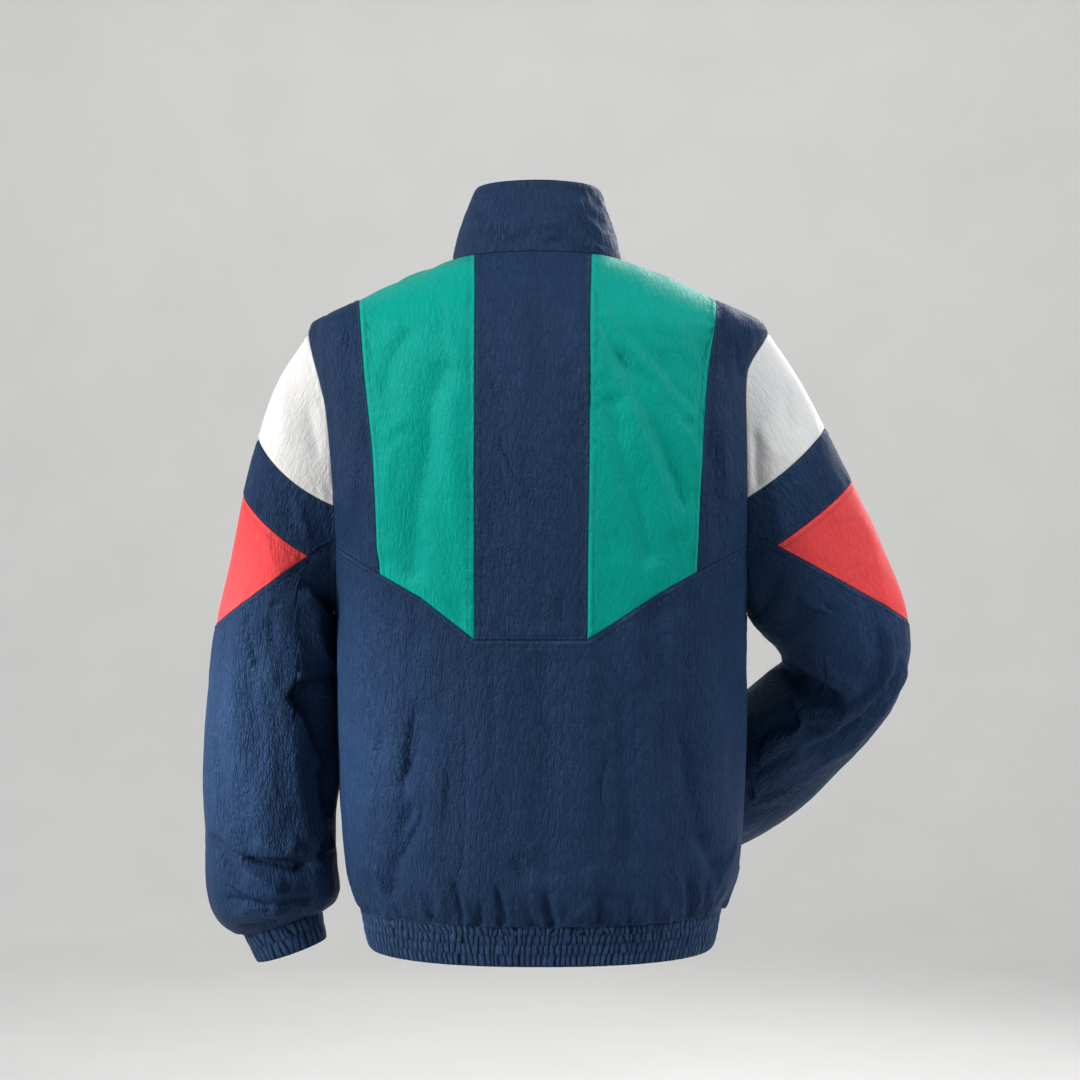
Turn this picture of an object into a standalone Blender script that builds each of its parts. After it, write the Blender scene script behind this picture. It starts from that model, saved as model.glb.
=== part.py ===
"""A colour-blocked nylon windbreaker in its worn shape, one object for each sewn piece.

Metres, +Z up. The front faces -Y and the wearer's left is +X. The origin is the middle of the neck opening,
at the height of the collar seam. Angles round a ring are in radians.

Each piece is a grid of points on one of four surfaces: the torso, a sleeve, the collar or an elastic band.
The torso is a stack of level superellipse rings. Above the underarm the rings are cut by the armholes, and
above the shoulder point they shrink along the shoulder line to the neck. A sleeve starts at the armhole and
runs through rings that fan out under the arm. Pieces that share a seam share its points, so that their
edges stay parallel, SEAM_GAP apart.
"""

import math

import bmesh
import bpy
import numpy as np
from mathutils import Matrix, Vector

# ------------------------------------------------------------------------------ driving dimensions

CLOTH = 0.0015
COLLAR_WALL = 0.0020
BAND_WALL = 0.0022
SEAM_GAP = 0.0003

SHOULDER_Z = -0.072
UNDERARM_Z = -0.345
HEM_SEAM_Z = -0.643
HEM_Z = -0.681
ARMHOLE_HALF_DEPTH = 0.062

NECK_FRONT_DROP = 0.045
COLLAR_BACK_TOP = 0.0717
COLLAR_FRONT_TOP = 0.030
COLLAR_TOP_HALF_WIDTH = 0.061
COLLAR_TOP_HALF_DEPTH = 0.060
COLLAR_BULGE = 0.003

CUFF_HEIGHT = 0.030
CUFF_TAPER = 0.90

# The zip. Its tapes lie inside the fronts, and its chain stands between the fronts' edges.
FRONT_EDGE = 0.0033
TAPE_HALF_WIDTH = 0.014
TAPE_DEPTH = 0.0026
TAPE_WALL = 0.0010
CHAIN_HALF_WIDTH = 0.0026
CHAIN_PROUD = 0.0003
CHAIN_WALL = 0.0026

# The slider stands on the chain near its top, and the pull's bar turns in the tunnel of its crown.
SLIDER_BELOW_TOP = 0.012
SLIDER_SIZE = (0.0090, 0.0110, 0.0016)
SLIDER_CORNER = 0.0025
SLIDER_GAP = 0.0003
TUNNEL_HALF = 0.0013
CROWN_WIDTH = 0.0024
CROWN_POST = (0.0016, 0.0028)
CROWN_STRAP = 0.0009
PULL_SIZE = (0.0080, 0.0260, 0.0012)
PULL_CORNER = 0.0006
PULL_BAR = 0.0014
PULL_WINDOW = (0.0044, 0.0043)

RIGHT_ANGLE = math.pi / 2
LEFT, RIGHT = 1, -1
BACK, FRONT = 1, -1


class Table:
    """Rows of named columns, read smoothly between the rows by the first column."""

    def __init__(self, names, rows):
        values = np.array(sorted(rows), float)
        self.key = values[:, 0]
        self.columns = {name: values[:, i] for i, name in enumerate(names.split())}
        self.slopes = {name: self.monotone_slopes(column) for name, column in self.columns.items()}

    def monotone_slopes(self, column):
        step = np.diff(self.key)
        rise = np.diff(column) / step
        slopes = np.zeros_like(column)
        slopes[0], slopes[-1] = rise[0], rise[-1]
        before, after = rise[:-1], rise[1:]
        turning = before * after <= 0
        before = np.where(turning, 1, before)
        after = np.where(turning, 1, after)
        weight_before = step[:-1] + 2 * step[1:]
        weight_after = 2 * step[:-1] + step[1:]
        mean = (weight_before + weight_after) / (weight_before / before + weight_after / after)
        slopes[1:-1] = np.where(turning, 0, mean)
        return slopes

    def __call__(self, name, key):
        key = np.clip(np.asarray(key, float), self.key[0], self.key[-1])
        row = np.clip(np.searchsorted(self.key, key, side="right") - 1, 0, len(self.key) - 2)
        step = self.key[row + 1] - self.key[row]
        t = (key - self.key[row]) / step
        column, slopes = self.columns[name], self.slopes[name]
        return (
            column[row] * (1 + 2 * t) * (1 - t) ** 2
            + column[row + 1] * t * t * (3 - 2 * t)
            + step * slopes[row] * t * (1 - t) ** 2
            - step * slopes[row + 1] * t * t * (1 - t)
        )


# ------------------------------------------------------------------------------ tables of sizes

# The torso's rings: the middle of the ring, its depth behind and in front of the shoulder line, and the
# power of its superellipse.
TORSO = Table(
    "height centre_x back_depth front_depth squareness",
    [
        (0.000, 0.0030, 0.078, 0.050, 2.00),
        (-0.020, 0.0025, 0.094, 0.070, 2.02),
        (-0.045, 0.0020, 0.110, 0.088, 2.05),
        (-0.075, 0.0015, 0.121, 0.102, 2.10),
        (-0.110, 0.0010, 0.130, 0.113, 2.16),
        (-0.150, 0.0005, 0.136, 0.121, 2.22),
        (-0.200, 0.0000, 0.140, 0.128, 2.28),
        (-0.280, -0.0012, 0.141, 0.132, 2.30),
        (-0.345, -0.0020, 0.140, 0.133, 2.30),
        (-0.450, -0.0020, 0.137, 0.129, 2.30),
        (-0.550, -0.0020, 0.134, 0.125, 2.30),
        (-0.600, -0.0020, 0.132, 0.122, 2.30),
        (-0.625, -0.0015, 0.129, 0.119, 2.28),
        (-0.643, -0.0010, 0.123, 0.113, 2.25),
        (-0.681, -0.0010, 0.118, 0.108, 2.25),
    ],
)

# Half the width between the shoulder seams, from the shoulder point up to the neck.
SHOULDER_LINE = Table(
    "height half_width",
    [
        (0.0000, 0.0840),
        (-0.0180, 0.1310),
        (-0.0390, 0.1750),
        (-0.0525, 0.2055),
        (-0.0580, 0.2165),
        (-0.0650, 0.2260),
        (-0.0720, 0.2290),
    ],
)

# How far the armhole seam stands from the ring's middle.
ARMHOLE = Table(
    "height left_reach right_reach",
    [
        (-0.0720, 0.2290, 0.2290),
        (-0.0996, 0.2215, 0.2175),
        (-0.1150, 0.2168, 0.2115),
        (-0.1480, 0.2085, 0.2040),
        (-0.2110, 0.2025, 0.2010),
        (-0.2450, 0.2010, 0.2010),
        (-0.2830, 0.2005, 0.2010),
        (-0.3450, 0.2040, 0.2040),
    ],
)

# Half the width of the body and of the waistband under the arms.
TRUNK = Table(
    "height half_width",
    [
        (-0.345, 0.2040),
        (-0.450, 0.2035),
        (-0.530, 0.2010),
        (-0.572, 0.1985),
        (-0.600, 0.1955),
        (-0.622, 0.1900),
        (-0.636, 0.1840),
        (-0.643, 0.1800),
        (-0.670, 0.1745),
        (-0.681, 0.1710),
    ],
)

# Seams that run down the back, by height: the long edges of the green panels.
GREEN_EDGES = Table(
    "height left_outer left_inner right_inner right_outer",
    [
        (0.000, 0.1775, 0.0637, -0.0497, -0.1725),
        (-0.040, 0.1775, 0.0620, -0.0480, -0.1725),
        (-0.060, 0.1740, 0.0618, -0.0473, -0.1700),
        (-0.125, 0.1675, 0.0615, -0.0468, -0.1600),
        (-0.200, 0.1590, 0.0614, -0.0460, -0.1545),
        (-0.310, 0.1525, 0.0613, -0.0445, -0.1490),
        (-0.370, 0.1500, 0.0613, -0.0441, -0.1480),
    ],
)

# Heights of the corners of the seam across the back.
YOKE_AT_ARMHOLE = {LEFT: -0.2840, RIGHT: -0.2830}
YOKE_AT_GREEN = {LEFT: -0.3105, RIGHT: -0.3085}
YOKE_BEND = {LEFT: (0.1130, -0.3320), RIGHT: (-0.1120, -0.3285)}
YOKE_CENTRE_Z = -0.3715
FRONT_JOIN_Z = -0.300

# Rings of the sleeves by distance along the outer line: the points of the outer and inner lines as seen
# from behind, the middle's y, and half the depth across them.
SLEEVE_COLUMNS = "along outer_x outer_z inner_x inner_z middle_y half_depth"
SLEEVES = {
    LEFT: Table(
        SLEEVE_COLUMNS,
        [
            (0.000, 0.2310, -0.072, 0.2020, -0.345, 0.000, 0.0620),
            (0.052, 0.2600, -0.118, 0.2090, -0.352, 0.000, 0.0650),
            (0.115, 0.2795, -0.179, 0.2100, -0.360, -0.002, 0.0670),
            (0.172, 0.2950, -0.234, 0.2100, -0.371, -0.005, 0.0675),
            (0.238, 0.3095, -0.300, 0.2085, -0.388, -0.008, 0.0665),
            (0.302, 0.3240, -0.362, 0.2075, -0.412, -0.010, 0.0650),
            (0.372, 0.3325, -0.432, 0.2065, -0.455, -0.012, 0.0630),
            (0.450, 0.3370, -0.510, 0.2060, -0.517, -0.014, 0.0610),
            (0.514, 0.3370, -0.574, 0.2060, -0.574, -0.016, 0.0590),
            (0.560, 0.3345, -0.620, 0.2035, -0.608, -0.017, 0.0565),
            (0.588, 0.3295, -0.647, 0.2020, -0.628, -0.018, 0.0530),
            (0.605, 0.3190, -0.664, 0.2060, -0.640, -0.018, 0.0470),
            (0.628, 0.2985, -0.675, 0.2210, -0.649, -0.018, 0.0350),
        ],
    ),
    RIGHT: Table(
        SLEEVE_COLUMNS,
        [
            (0.000, -0.2280, -0.072, -0.2040, -0.345, 0.000, 0.0620),
            (0.053, -0.2570, -0.116, -0.2095, -0.352, 0.000, 0.0650),
            (0.109, -0.2830, -0.166, -0.2110, -0.357, -0.003, 0.0670),
            (0.167, -0.3105, -0.218, -0.2155, -0.364, -0.007, 0.0680),
            (0.235, -0.3405, -0.279, -0.2240, -0.373, -0.013, 0.0680),
            (0.319, -0.3705, -0.358, -0.2390, -0.387, -0.022, 0.0670),
            (0.347, -0.3730, -0.386, -0.2440, -0.393, -0.029, 0.0660),
            (0.394, -0.3650, -0.431, -0.2460, -0.400, -0.042, 0.0640),
            (0.443, -0.3430, -0.477, -0.2430, -0.407, -0.057, 0.0620),
            (0.490, -0.3110, -0.515, -0.2330, -0.418, -0.074, 0.0600),
            (0.540, -0.2760, -0.556, -0.2120, -0.440, -0.099, 0.0580),
            (0.590, -0.2380, -0.588, -0.1760, -0.478, -0.130, 0.0560),
            (0.640, -0.2000, -0.612, -0.1450, -0.516, -0.158, 0.0530),
            (0.662, -0.1820, -0.624, -0.1320, -0.536, -0.171, 0.0460),
            (0.684, -0.1590, -0.625, -0.1230, -0.563, -0.181, 0.0350),
        ],
    ),
}
SLEEVE_END = {LEFT: 0.628, RIGHT: 0.684}
SLEEVE_MIDDLE_FADE = 0.110  # how far down the sleeve the armhole's own curve dies away

# Seams of the sleeve panels as straight cuts seen from behind: where each meets the outer line, and where
# it meets the armhole or the red panel's tip.
SLEEVE_CUTS = {
    LEFT: {
        "cap_outer": (0.2780, -0.1790),
        "cap_armhole": -0.2450,
        "red_top": (0.2940, -0.2340),
        "red_bottom": (0.3230, -0.3620),
        "red_tip": (0.2255, -0.2935),
        "lower_armhole": -0.2760,
        "cap_sag": 0.0080,
        "red_sag": 0.0040,
    },
    RIGHT: {
        "cap_outer": (-0.2830, -0.1660),
        "cap_armhole": -0.2370,
        "red_top": (-0.3105, -0.2190),
        "red_bottom": (-0.3690, -0.3590),
        "red_tip": (-0.2300, -0.2830),
        "lower_armhole": -0.2690,
        "cap_sag": 0.0045,
        "red_sag": 0.0020,
    },
}

# The sleeves' largest folds: where they lie along the sleeve and round it from the outer line (positive
# behind), the half lengths along and across it, how far they slant, and how far they sink.
FOLD_COLUMNS = "along around half_length half_width slant sink"
SLEEVE_FOLDS = {
    LEFT: [
        (0.525, 60, 0.030, 0.060, 0.15, 0.0045),
        (0.380, 110, 0.110, 0.028, -0.20, 0.0055),
        (0.520, -70, 0.030, 0.055, -0.15, 0.0040),
    ],
    RIGHT: [
        (0.430, 75, 0.032, 0.065, -0.35, 0.0065),
        (0.420, 145, 0.030, 0.050, 0.10, 0.0065),
        (0.435, -80, 0.032, 0.065, 0.20, 0.0060),
    ],
}

NAVY = (0.036, 0.075, 0.170)
GREEN = (0.005, 0.420, 0.330)
WHITE = (0.850, 0.850, 0.840)
RED = (0.820, 0.080, 0.085)
ZIP_NAVY = (0.020, 0.040, 0.090)
NICKEL = (0.620, 0.610, 0.590)


# ------------------------------------------------------------------------------ the torso's surface


def torso_depth(height, face):
    return TORSO("back_depth" if face == BACK else "front_depth", height)


def armhole_half_depth(height):
    """How far the armhole stands behind and in front of the shoulder line at a height."""
    middle = (SHOULDER_Z + UNDERARM_Z) / 2
    reach = (SHOULDER_Z - UNDERARM_Z) / 2
    return ARMHOLE_HALF_DEPTH * np.sqrt(np.clip(1 - ((height - middle) / reach) ** 2, 0, 1))


def armhole_reach(height, side):
    return np.where(side > 0, ARMHOLE("left_reach", height), ARMHOLE("right_reach", height))


def torso_half_width(height, face, side):
    """Half the ring's width. Beside an armhole it is the width that takes the ring through the armhole."""
    height = np.asarray(height, float)
    power = TORSO("squareness", height)
    share = armhole_half_depth(height) / torso_depth(height, face)
    through_armhole = armhole_reach(height, side) / (1 - share**power) ** (1 / power)
    width = np.where(height > SHOULDER_Z, SHOULDER_LINE("half_width", height), through_armhole)
    return np.where(height < UNDERARM_Z, TRUNK("half_width", height), width)


def torso_point(lean, height, face):
    """lean is 0 at the middle of the back or front and a right angle, signed by side, at the seam."""
    power = TORSO("squareness", height)
    across = np.sign(lean) * np.abs(np.sin(lean)) ** (2 / power)
    outwards = np.clip(np.cos(lean), 0, 1) ** (2 / power)
    x = TORSO("centre_x", height) + torso_half_width(height, face, lean) * across
    y = face * torso_depth(height, face) * outwards
    return np.stack([x, y, np.broadcast_to(height, x.shape)], axis=-1)


def torso_normal(lean, height, face):
    """The outward direction, from the slope of the ring's superellipse equation."""
    point = torso_point(lean, height, face)

    def level(x, y, z):
        power = TORSO("squareness", z)
        across = np.abs(x - TORSO("centre_x", z)) / torso_half_width(z, face, lean)
        return across**power + (np.abs(y) / torso_depth(z, face)) ** power

    x, y, z = point[..., 0], point[..., 1], point[..., 2]
    step = 2e-5
    slope = np.stack(
        [
            level(x + step, y, z) - level(x - step, y, z),
            level(x, y + step, z) - level(x, y - step, z),
            2 * (level(x, y, z) - level(x, y, z - step)),
        ],
        axis=-1,
    )
    return slope / np.linalg.norm(slope, axis=-1, keepdims=True)


def lean_at(x, height, face):
    offset = x - TORSO("centre_x", height)
    share = np.clip(np.abs(offset) / torso_half_width(height, face, offset), 0, 1)
    return np.sign(offset) * np.arcsin(share ** (TORSO("squareness", height) / 2))


# ------------------------------------------------------------------------------ seams on the torso

# A seam is an array of (lean, height) rows. Panels that meet at a seam use the same rows.


def evenly(seam, face, count, closer=1.0):
    """The same seam with count + 1 rows, evenly spaced, or closer to each other at its start."""
    points = torso_point(seam[:, 0], seam[:, 1], face)
    travelled = np.concatenate([[0], np.cumsum(np.linalg.norm(np.diff(points, axis=0), axis=1))])
    wanted = travelled[-1] * np.linspace(0, 1, count + 1) ** closer
    return np.stack([np.interp(wanted, travelled, seam[:, i]) for i in (0, 1)], axis=-1)


def shoulder_height_of(column):
    """Where a green panel's outer edge meets the shoulder seam."""
    low, high = SHOULDER_Z, 0.0
    for _ in range(60):
        middle = (low + high) / 2
        reach = abs(GREEN_EDGES(column, middle) - TORSO("centre_x", middle))
        if reach < SHOULDER_LINE("half_width", middle):
            low = middle
        else:
            high = middle
    return (low + high) / 2


def edge_down(column, top, bottom, count):
    """A green panel's long edge, from its height at the top to its height at the bottom."""
    share = np.linspace(0, 1, 400) ** 2
    heights = top + (bottom - top) * share
    leans = lean_at(GREEN_EDGES(column, heights), heights, BACK)
    if "outer" in column:
        leans[0] = math.copysign(RIGHT_ANGLE, leans[1])
    return evenly(np.stack([leans, heights], axis=-1), BACK, count, closer=1.3)


def straight_seam(start, end, face, count):
    """A seam that looks straight from behind, between two (x, height) points."""
    share = np.linspace(0, 1, 200)
    x = start[0] + (end[0] - start[0]) * share
    heights = start[1] + (end[1] - start[1]) * share
    return evenly(np.stack([lean_at(x, heights, face), heights], axis=-1), face, count)


def joined(*seams):
    """Seams end to end as one, with each shared row kept once."""
    return np.concatenate([seams[0]] + [seam[1:] for seam in seams[1:]])


def ring_seam(start, end, height, count):
    """Part of a level ring, between two leans."""
    leans = np.linspace(start, end, count + 1)
    return np.stack([leans, np.full(count + 1, height)], axis=-1)


def shoulder_seam(side, top, bottom, count):
    heights = np.linspace(top, bottom, 100)
    leans = np.full(100, side * RIGHT_ANGLE)
    return evenly(np.stack([leans, heights], axis=-1), BACK, count)


def armhole_height(angle):
    middle = (SHOULDER_Z + UNDERARM_Z) / 2
    reach = (SHOULDER_Z - UNDERARM_Z) / 2
    return middle + reach * np.cos(angle)


def armhole_angle(height):
    """The angle round the armhole, from the shoulder point, at a height."""
    middle = (SHOULDER_Z + UNDERARM_Z) / 2
    reach = (SHOULDER_Z - UNDERARM_Z) / 2
    return math.acos((height - middle) / reach)


def armhole_point(side, angle):
    """The armhole seam's point, at an angle that is positive behind the shoulder line."""
    height = armhole_height(angle)
    x = TORSO("centre_x", height) + side * armhole_reach(height, side)
    return np.stack([x, ARMHOLE_HALF_DEPTH * np.sin(angle), height], axis=-1)


def armhole_seam(side, angles, face):
    """The armhole seam between given angles, as rows on the torso."""
    points = armhole_point(side, np.asarray(angles, float))
    leans = lean_at(points[:, 0], points[:, 2], face)
    at_side = np.isclose(np.sin(angles), 0, atol=1e-9)
    leans = np.where(at_side, side * RIGHT_ANGLE, leans)
    return np.stack([leans, points[:, 2]], axis=-1)


def neck_front_seam(side, count):
    """The neckline of one front, from the centre front to the shoulder seam."""
    share = np.linspace(0, 1, 200)
    heights = -NECK_FRONT_DROP * np.cos(share * RIGHT_ANGLE) ** 1.4
    reach = SHOULDER_LINE("half_width", 0.0)
    x = TORSO("centre_x", heights) + side * (FRONT_EDGE + (reach - FRONT_EDGE) * np.sin(share * RIGHT_ANGLE))
    leans = lean_at(x, heights, FRONT)
    leans[-1] = side * RIGHT_ANGLE
    return evenly(np.stack([leans, heights], axis=-1), FRONT, count, closer=NECK_FRONT_CLOSER)


def front_edge_seam(side, heights):
    """The edge of a front beside the zip."""
    x = TORSO("centre_x", heights) + side * FRONT_EDGE
    return np.stack([lean_at(x, heights, FRONT), heights], axis=-1)


def rows_to_hem(top, count):
    """Heights down to the hem seam, closer together where the body draws in above the waistband."""
    share = 1 - (1 - np.linspace(0, 1, count + 1)) ** 1.6
    return top + (HEM_SEAM_Z - top) * share


def side_seam(side, count):
    heights = rows_to_hem(UNDERARM_Z, count)
    return np.stack([np.full(count + 1, side * RIGHT_ANGLE), heights], axis=-1)


def filled(top, bottom, left, right):
    """A Coons patch of (lean, height) rows between four seams. Opposite seams run the same way."""
    u = np.linspace(0, 1, len(top))[None, :, None]
    v = np.linspace(0, 1, len(left))[:, None, None]
    between_top_and_bottom = (1 - v) * top[None] + v * bottom[None]
    between_sides = (1 - u) * left[:, None] + u * right[:, None]
    corners = (1 - v) * ((1 - u) * top[0] + u * top[-1]) + v * ((1 - u) * bottom[0] + u * bottom[-1])
    return between_top_and_bottom + between_sides - corners


def torso_grid(rows, face):
    return torso_point(rows[..., 0], rows[..., 1], face), torso_normal(rows[..., 0], rows[..., 1], face)


# ------------------------------------------------------------------------------ the sleeves' surfaces


def sleeve_frame(side, along):
    """The middle of a sleeve ring, its vector to the outer line, and its vector to the back."""
    table = SLEEVES[side]

    def middle_at(distance):
        x = (table("outer_x", distance) + table("inner_x", distance)) / 2
        z = (table("outer_z", distance) + table("inner_z", distance)) / 2
        return np.stack([x, table("middle_y", distance), z], axis=-1)

    outer = np.stack(
        [
            (table("outer_x", along) - table("inner_x", along)) / 2,
            np.zeros_like(along),
            (table("outer_z", along) - table("inner_z", along)) / 2,
        ],
        axis=-1,
    )
    step = 0.030  # a long step, so that the rings tilt slowly from one to the next
    end = SLEEVE_END[side]
    heading = middle_at(np.minimum(along + step, end)) - middle_at(np.maximum(along - step, 0))
    back = -side * np.cross(heading, outer)
    back = back / np.linalg.norm(back, axis=-1, keepdims=True)
    return middle_at(along), outer, back * table("half_depth", along)[..., None]


def plain_sleeve_point(side, angle, along):
    """A point of the sleeve without folds. The angle is 0 on the outer line and positive behind."""
    angle, along = np.broadcast_arrays(np.asarray(angle, float), np.asarray(along, float))
    middle, outer, back = sleeve_frame(side, along)
    point = middle + outer * np.cos(angle)[..., None] + back * np.sin(angle)[..., None]
    start_middle, start_outer, start_back = sleeve_frame(side, np.zeros_like(along))
    start = start_middle + start_outer * np.cos(angle)[..., None] + start_back * np.sin(angle)[..., None]
    fade = np.clip(1 - along / SLEEVE_MIDDLE_FADE, 0, 1) ** 2
    return point + (armhole_point(side, angle) - start) * fade[..., None]


def plain_sleeve_normal(side, angle, along):
    angle, along = np.broadcast_arrays(np.asarray(angle, float), np.asarray(along, float))
    turn, step = 0.02, 0.002
    before, after = np.maximum(along - step, 0), np.minimum(along + step, SLEEVE_END[side])
    down = plain_sleeve_point(side, angle, after) - plain_sleeve_point(side, angle, before)
    around = plain_sleeve_point(side, angle + turn, along) - plain_sleeve_point(side, angle - turn, along)
    normal = side * np.cross(down, around)
    return normal / np.linalg.norm(normal, axis=-1, keepdims=True)


def sleeve_sink(side, angle, along):
    """How far the folds sink the cloth at a point."""
    mean_radius = 0.064
    sink = np.zeros(np.broadcast(angle, along).shape)
    for row in SLEEVE_FOLDS[side]:
        fold = dict(zip(FOLD_COLUMNS.split(), row))
        turned = (angle - math.radians(fold["around"]) + math.pi) % (2 * math.pi) - math.pi
        across = turned * mean_radius
        down = along - fold["along"]
        long = down - fold["slant"] * across
        wide = across + fold["slant"] * down
        sink = sink + fold["sink"] * np.exp(
            -((long / fold["half_length"]) ** 2) - (wide / fold["half_width"]) ** 2
        )
    room = np.clip(along / 0.08, 0, 1) * np.clip((SLEEVE_END[side] - along) / 0.04, 0, 1)
    return sink * room


def sleeve_point(side, angle, along):
    normal = plain_sleeve_normal(side, angle, along)
    return plain_sleeve_point(side, angle, along) - normal * sleeve_sink(side, angle, along)[..., None]


def cuff_point(side, angle, share):
    """The cuff carries on from the sleeve's last ring, tapering to its open end."""
    end = np.full(np.broadcast(angle, share).shape, SLEEVE_END[side])
    middle, outer, back = sleeve_frame(side, end)
    heading = side * np.cross(back, outer)
    heading = heading / np.linalg.norm(heading, axis=-1, keepdims=True)
    scale = 1 + (CUFF_TAPER - 1) * share
    ring = outer * np.cos(angle)[..., None] + back * np.sin(angle)[..., None]
    return middle + ring * scale[..., None] + heading * (CUFF_HEIGHT * share)[..., None]


# ------------------------------------------------------------------------------ seams on the sleeves


def cut_distance(side, angle, start, end, sag=0.0):
    """How far along the sleeve, at an angle, the cut from start to end crosses it, as seen from behind."""
    low, high = 0.0, 0.36
    line = (end[0] - start[0], end[1] - start[1])
    length = math.hypot(*line)
    below = -math.copysign(1, line[0])

    def beyond(along):
        point = plain_sleeve_point(side, angle, along)
        x, z = point[0] - start[0], point[2] - start[1]
        share = min(1, max(0, (x * line[0] + z * line[1]) / length**2))
        offset = (line[0] * z - line[1] * x) / length
        return offset - below * sag * 4 * share * (1 - share)

    sign = math.copysign(1, beyond(high))
    if sign * beyond(low) >= 0:
        return 0.0
    for _ in range(50):
        middle = (low + high) / 2
        if sign * beyond(middle) > 0:
            high = middle
        else:
            low = middle
    return (low + high) / 2


def tip_angle_of(side, tip):
    """The angle and the distance along at which the sleeve's back shows the red panel's tip."""
    best = None
    for angle in np.linspace(0.5, 2.4, 300):
        low, high = 0.0, 0.36
        for _ in range(40):
            middle = (low + high) / 2
            if plain_sleeve_point(side, angle, middle)[2] > tip[1]:
                low = middle
            else:
                high = middle
        miss = abs(plain_sleeve_point(side, angle, low)[0] - tip[0])
        if best is None or miss < best[0]:
            best = (miss, angle, low)
    return best[1], best[2]


class SleeveSeams:
    """The panel seams of a sleeve, as distances along it at a set of angles from the outer line."""

    def __init__(self, side):
        cuts = SLEEVE_CUTS[side]
        self.side = side
        self.cap_end = armhole_angle(cuts["cap_armhole"])
        self.band_end = armhole_angle(cuts["lower_armhole"])
        self.yoke_angle = armhole_angle(YOKE_AT_ARMHOLE[side])
        self.tip_angle, self.tip_along = tip_angle_of(side, cuts["red_tip"])
        stretches = [
            (self.cap_end, 6),
            (self.tip_angle, 2),
            (self.band_end, 1),
            (self.yoke_angle, 1),
            (math.pi, 4),
        ]
        self.angles = [0.0]
        for end, count in stretches:
            self.angles += list(np.linspace(self.angles[-1], end, count + 1)[1:])

    def point_at_armhole(self, height):
        point = armhole_point(self.side, np.float64(armhole_angle(height)))
        return point[0], point[2]

    def cap_bottom(self, angle):
        cuts = SLEEVE_CUTS[self.side]
        if angle >= self.cap_end - 1e-9:
            return 0.0
        armhole = self.point_at_armhole(cuts["cap_armhole"])
        return cut_distance(self.side, angle, cuts["cap_outer"], armhole, cuts["cap_sag"])

    def red_top(self, angle):
        cuts = SLEEVE_CUTS[self.side]
        if angle >= self.tip_angle - 1e-9:
            return self.tip_along
        return cut_distance(self.side, angle, cuts["red_top"], cuts["red_tip"], cuts["red_sag"])

    def lower_top(self, angle):
        """The seam at the top of the lower sleeve: under the red panel, then up to the armhole."""
        cuts = SLEEVE_CUTS[self.side]
        if abs(angle - self.tip_angle) < 1e-9:
            return self.tip_along
        if angle < self.tip_angle:
            return cut_distance(self.side, angle, cuts["red_tip"], cuts["red_bottom"])
        if angle >= self.band_end - 1e-9:
            return 0.0
        return self.tip_along * (self.band_end - angle) / (self.band_end - self.tip_angle)

    def band_bottom(self, angle):
        return self.red_top(angle) if angle < self.tip_angle else self.lower_top(angle)


def mirrored_angles(angles):
    """The angles on both sides of the outer line, from the front to the back."""
    return [-angle for angle in reversed(angles) if angle > 0] + list(angles)


def sleeve_columns(side, angles, tops, bottoms, rows):
    """A grid of the sleeve's surface, with each column running from its top to its bottom."""
    signed = np.array(mirrored_angles(angles))
    top = np.array([tops[abs(angle)] for angle in signed])
    bottom = np.array([bottoms[abs(angle)] for angle in signed])
    share = np.linspace(0, 1, rows + 1)[:, None]
    along = top + (bottom - top) * share
    angle = np.broadcast_to(signed, along.shape)
    return sleeve_point(side, angle, along), plain_sleeve_normal(side, angle, along)


# ------------------------------------------------------------------------------ the collar and the bands


def collar_top_point(turn):
    """The collar's top edge at a turn from the centre back, positive towards the wearer's left."""
    ahead = max(0.0, -math.cos(turn))
    x = COLLAR_TOP_HALF_WIDTH * math.sin(turn)
    if ahead > 0:
        x = math.copysign(max(abs(x), FRONT_EDGE), turn)
    height = COLLAR_BACK_TOP + (COLLAR_FRONT_TOP - COLLAR_BACK_TOP) * ahead**1.5
    return np.array([x + TORSO("centre_x", 0.0), COLLAR_TOP_HALF_DEPTH * math.cos(turn), height])


def collar_grid(base, turns, rows):
    """The collar, from its top edge down to the points of the neck seam."""
    top = np.array([collar_top_point(turn) for turn in turns])
    share = np.linspace(0, 1, rows + 1)[:, None, None]
    out = np.stack([np.sin(turns), np.cos(turns), np.zeros_like(turns)], axis=-1)
    points = top + (base - top) * share + COLLAR_BULGE * np.sin(math.pi * share) * out
    return points, grid_normals(points, out)


def grid_normals(points, outwards):
    """Normals of a grid by its neighbours, on the side that outwards points to."""
    down = np.gradient(points, axis=0)
    across = np.gradient(points, axis=1)
    normals = np.cross(down, across)
    normals /= np.linalg.norm(normals, axis=-1, keepdims=True)
    facing = np.sign(np.sum(normals * outwards, axis=-1, keepdims=True))
    return normals * facing


def waistband_grid(seams, rows):
    """The waistband under hem seams given as (rows, face), end to end."""
    grids = []
    for share in np.linspace(0, 1, rows + 1):
        height = HEM_SEAM_Z + (HEM_Z - HEM_SEAM_Z) * share
        strips = [torso_point(seam[:, 0], np.full(len(seam), height), face) for seam, face in seams]
        grids.append(np.concatenate([strips[0]] + [strip[1:] for strip in strips[1:]]))
    points = np.array(grids)
    return points, grid_normals(points, points * np.array([1, 1, 0]))


# ------------------------------------------------------------------------------ walls from grids


RIM_DIAGONAL = np.array([0.3, 0.5, 1.0])


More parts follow.
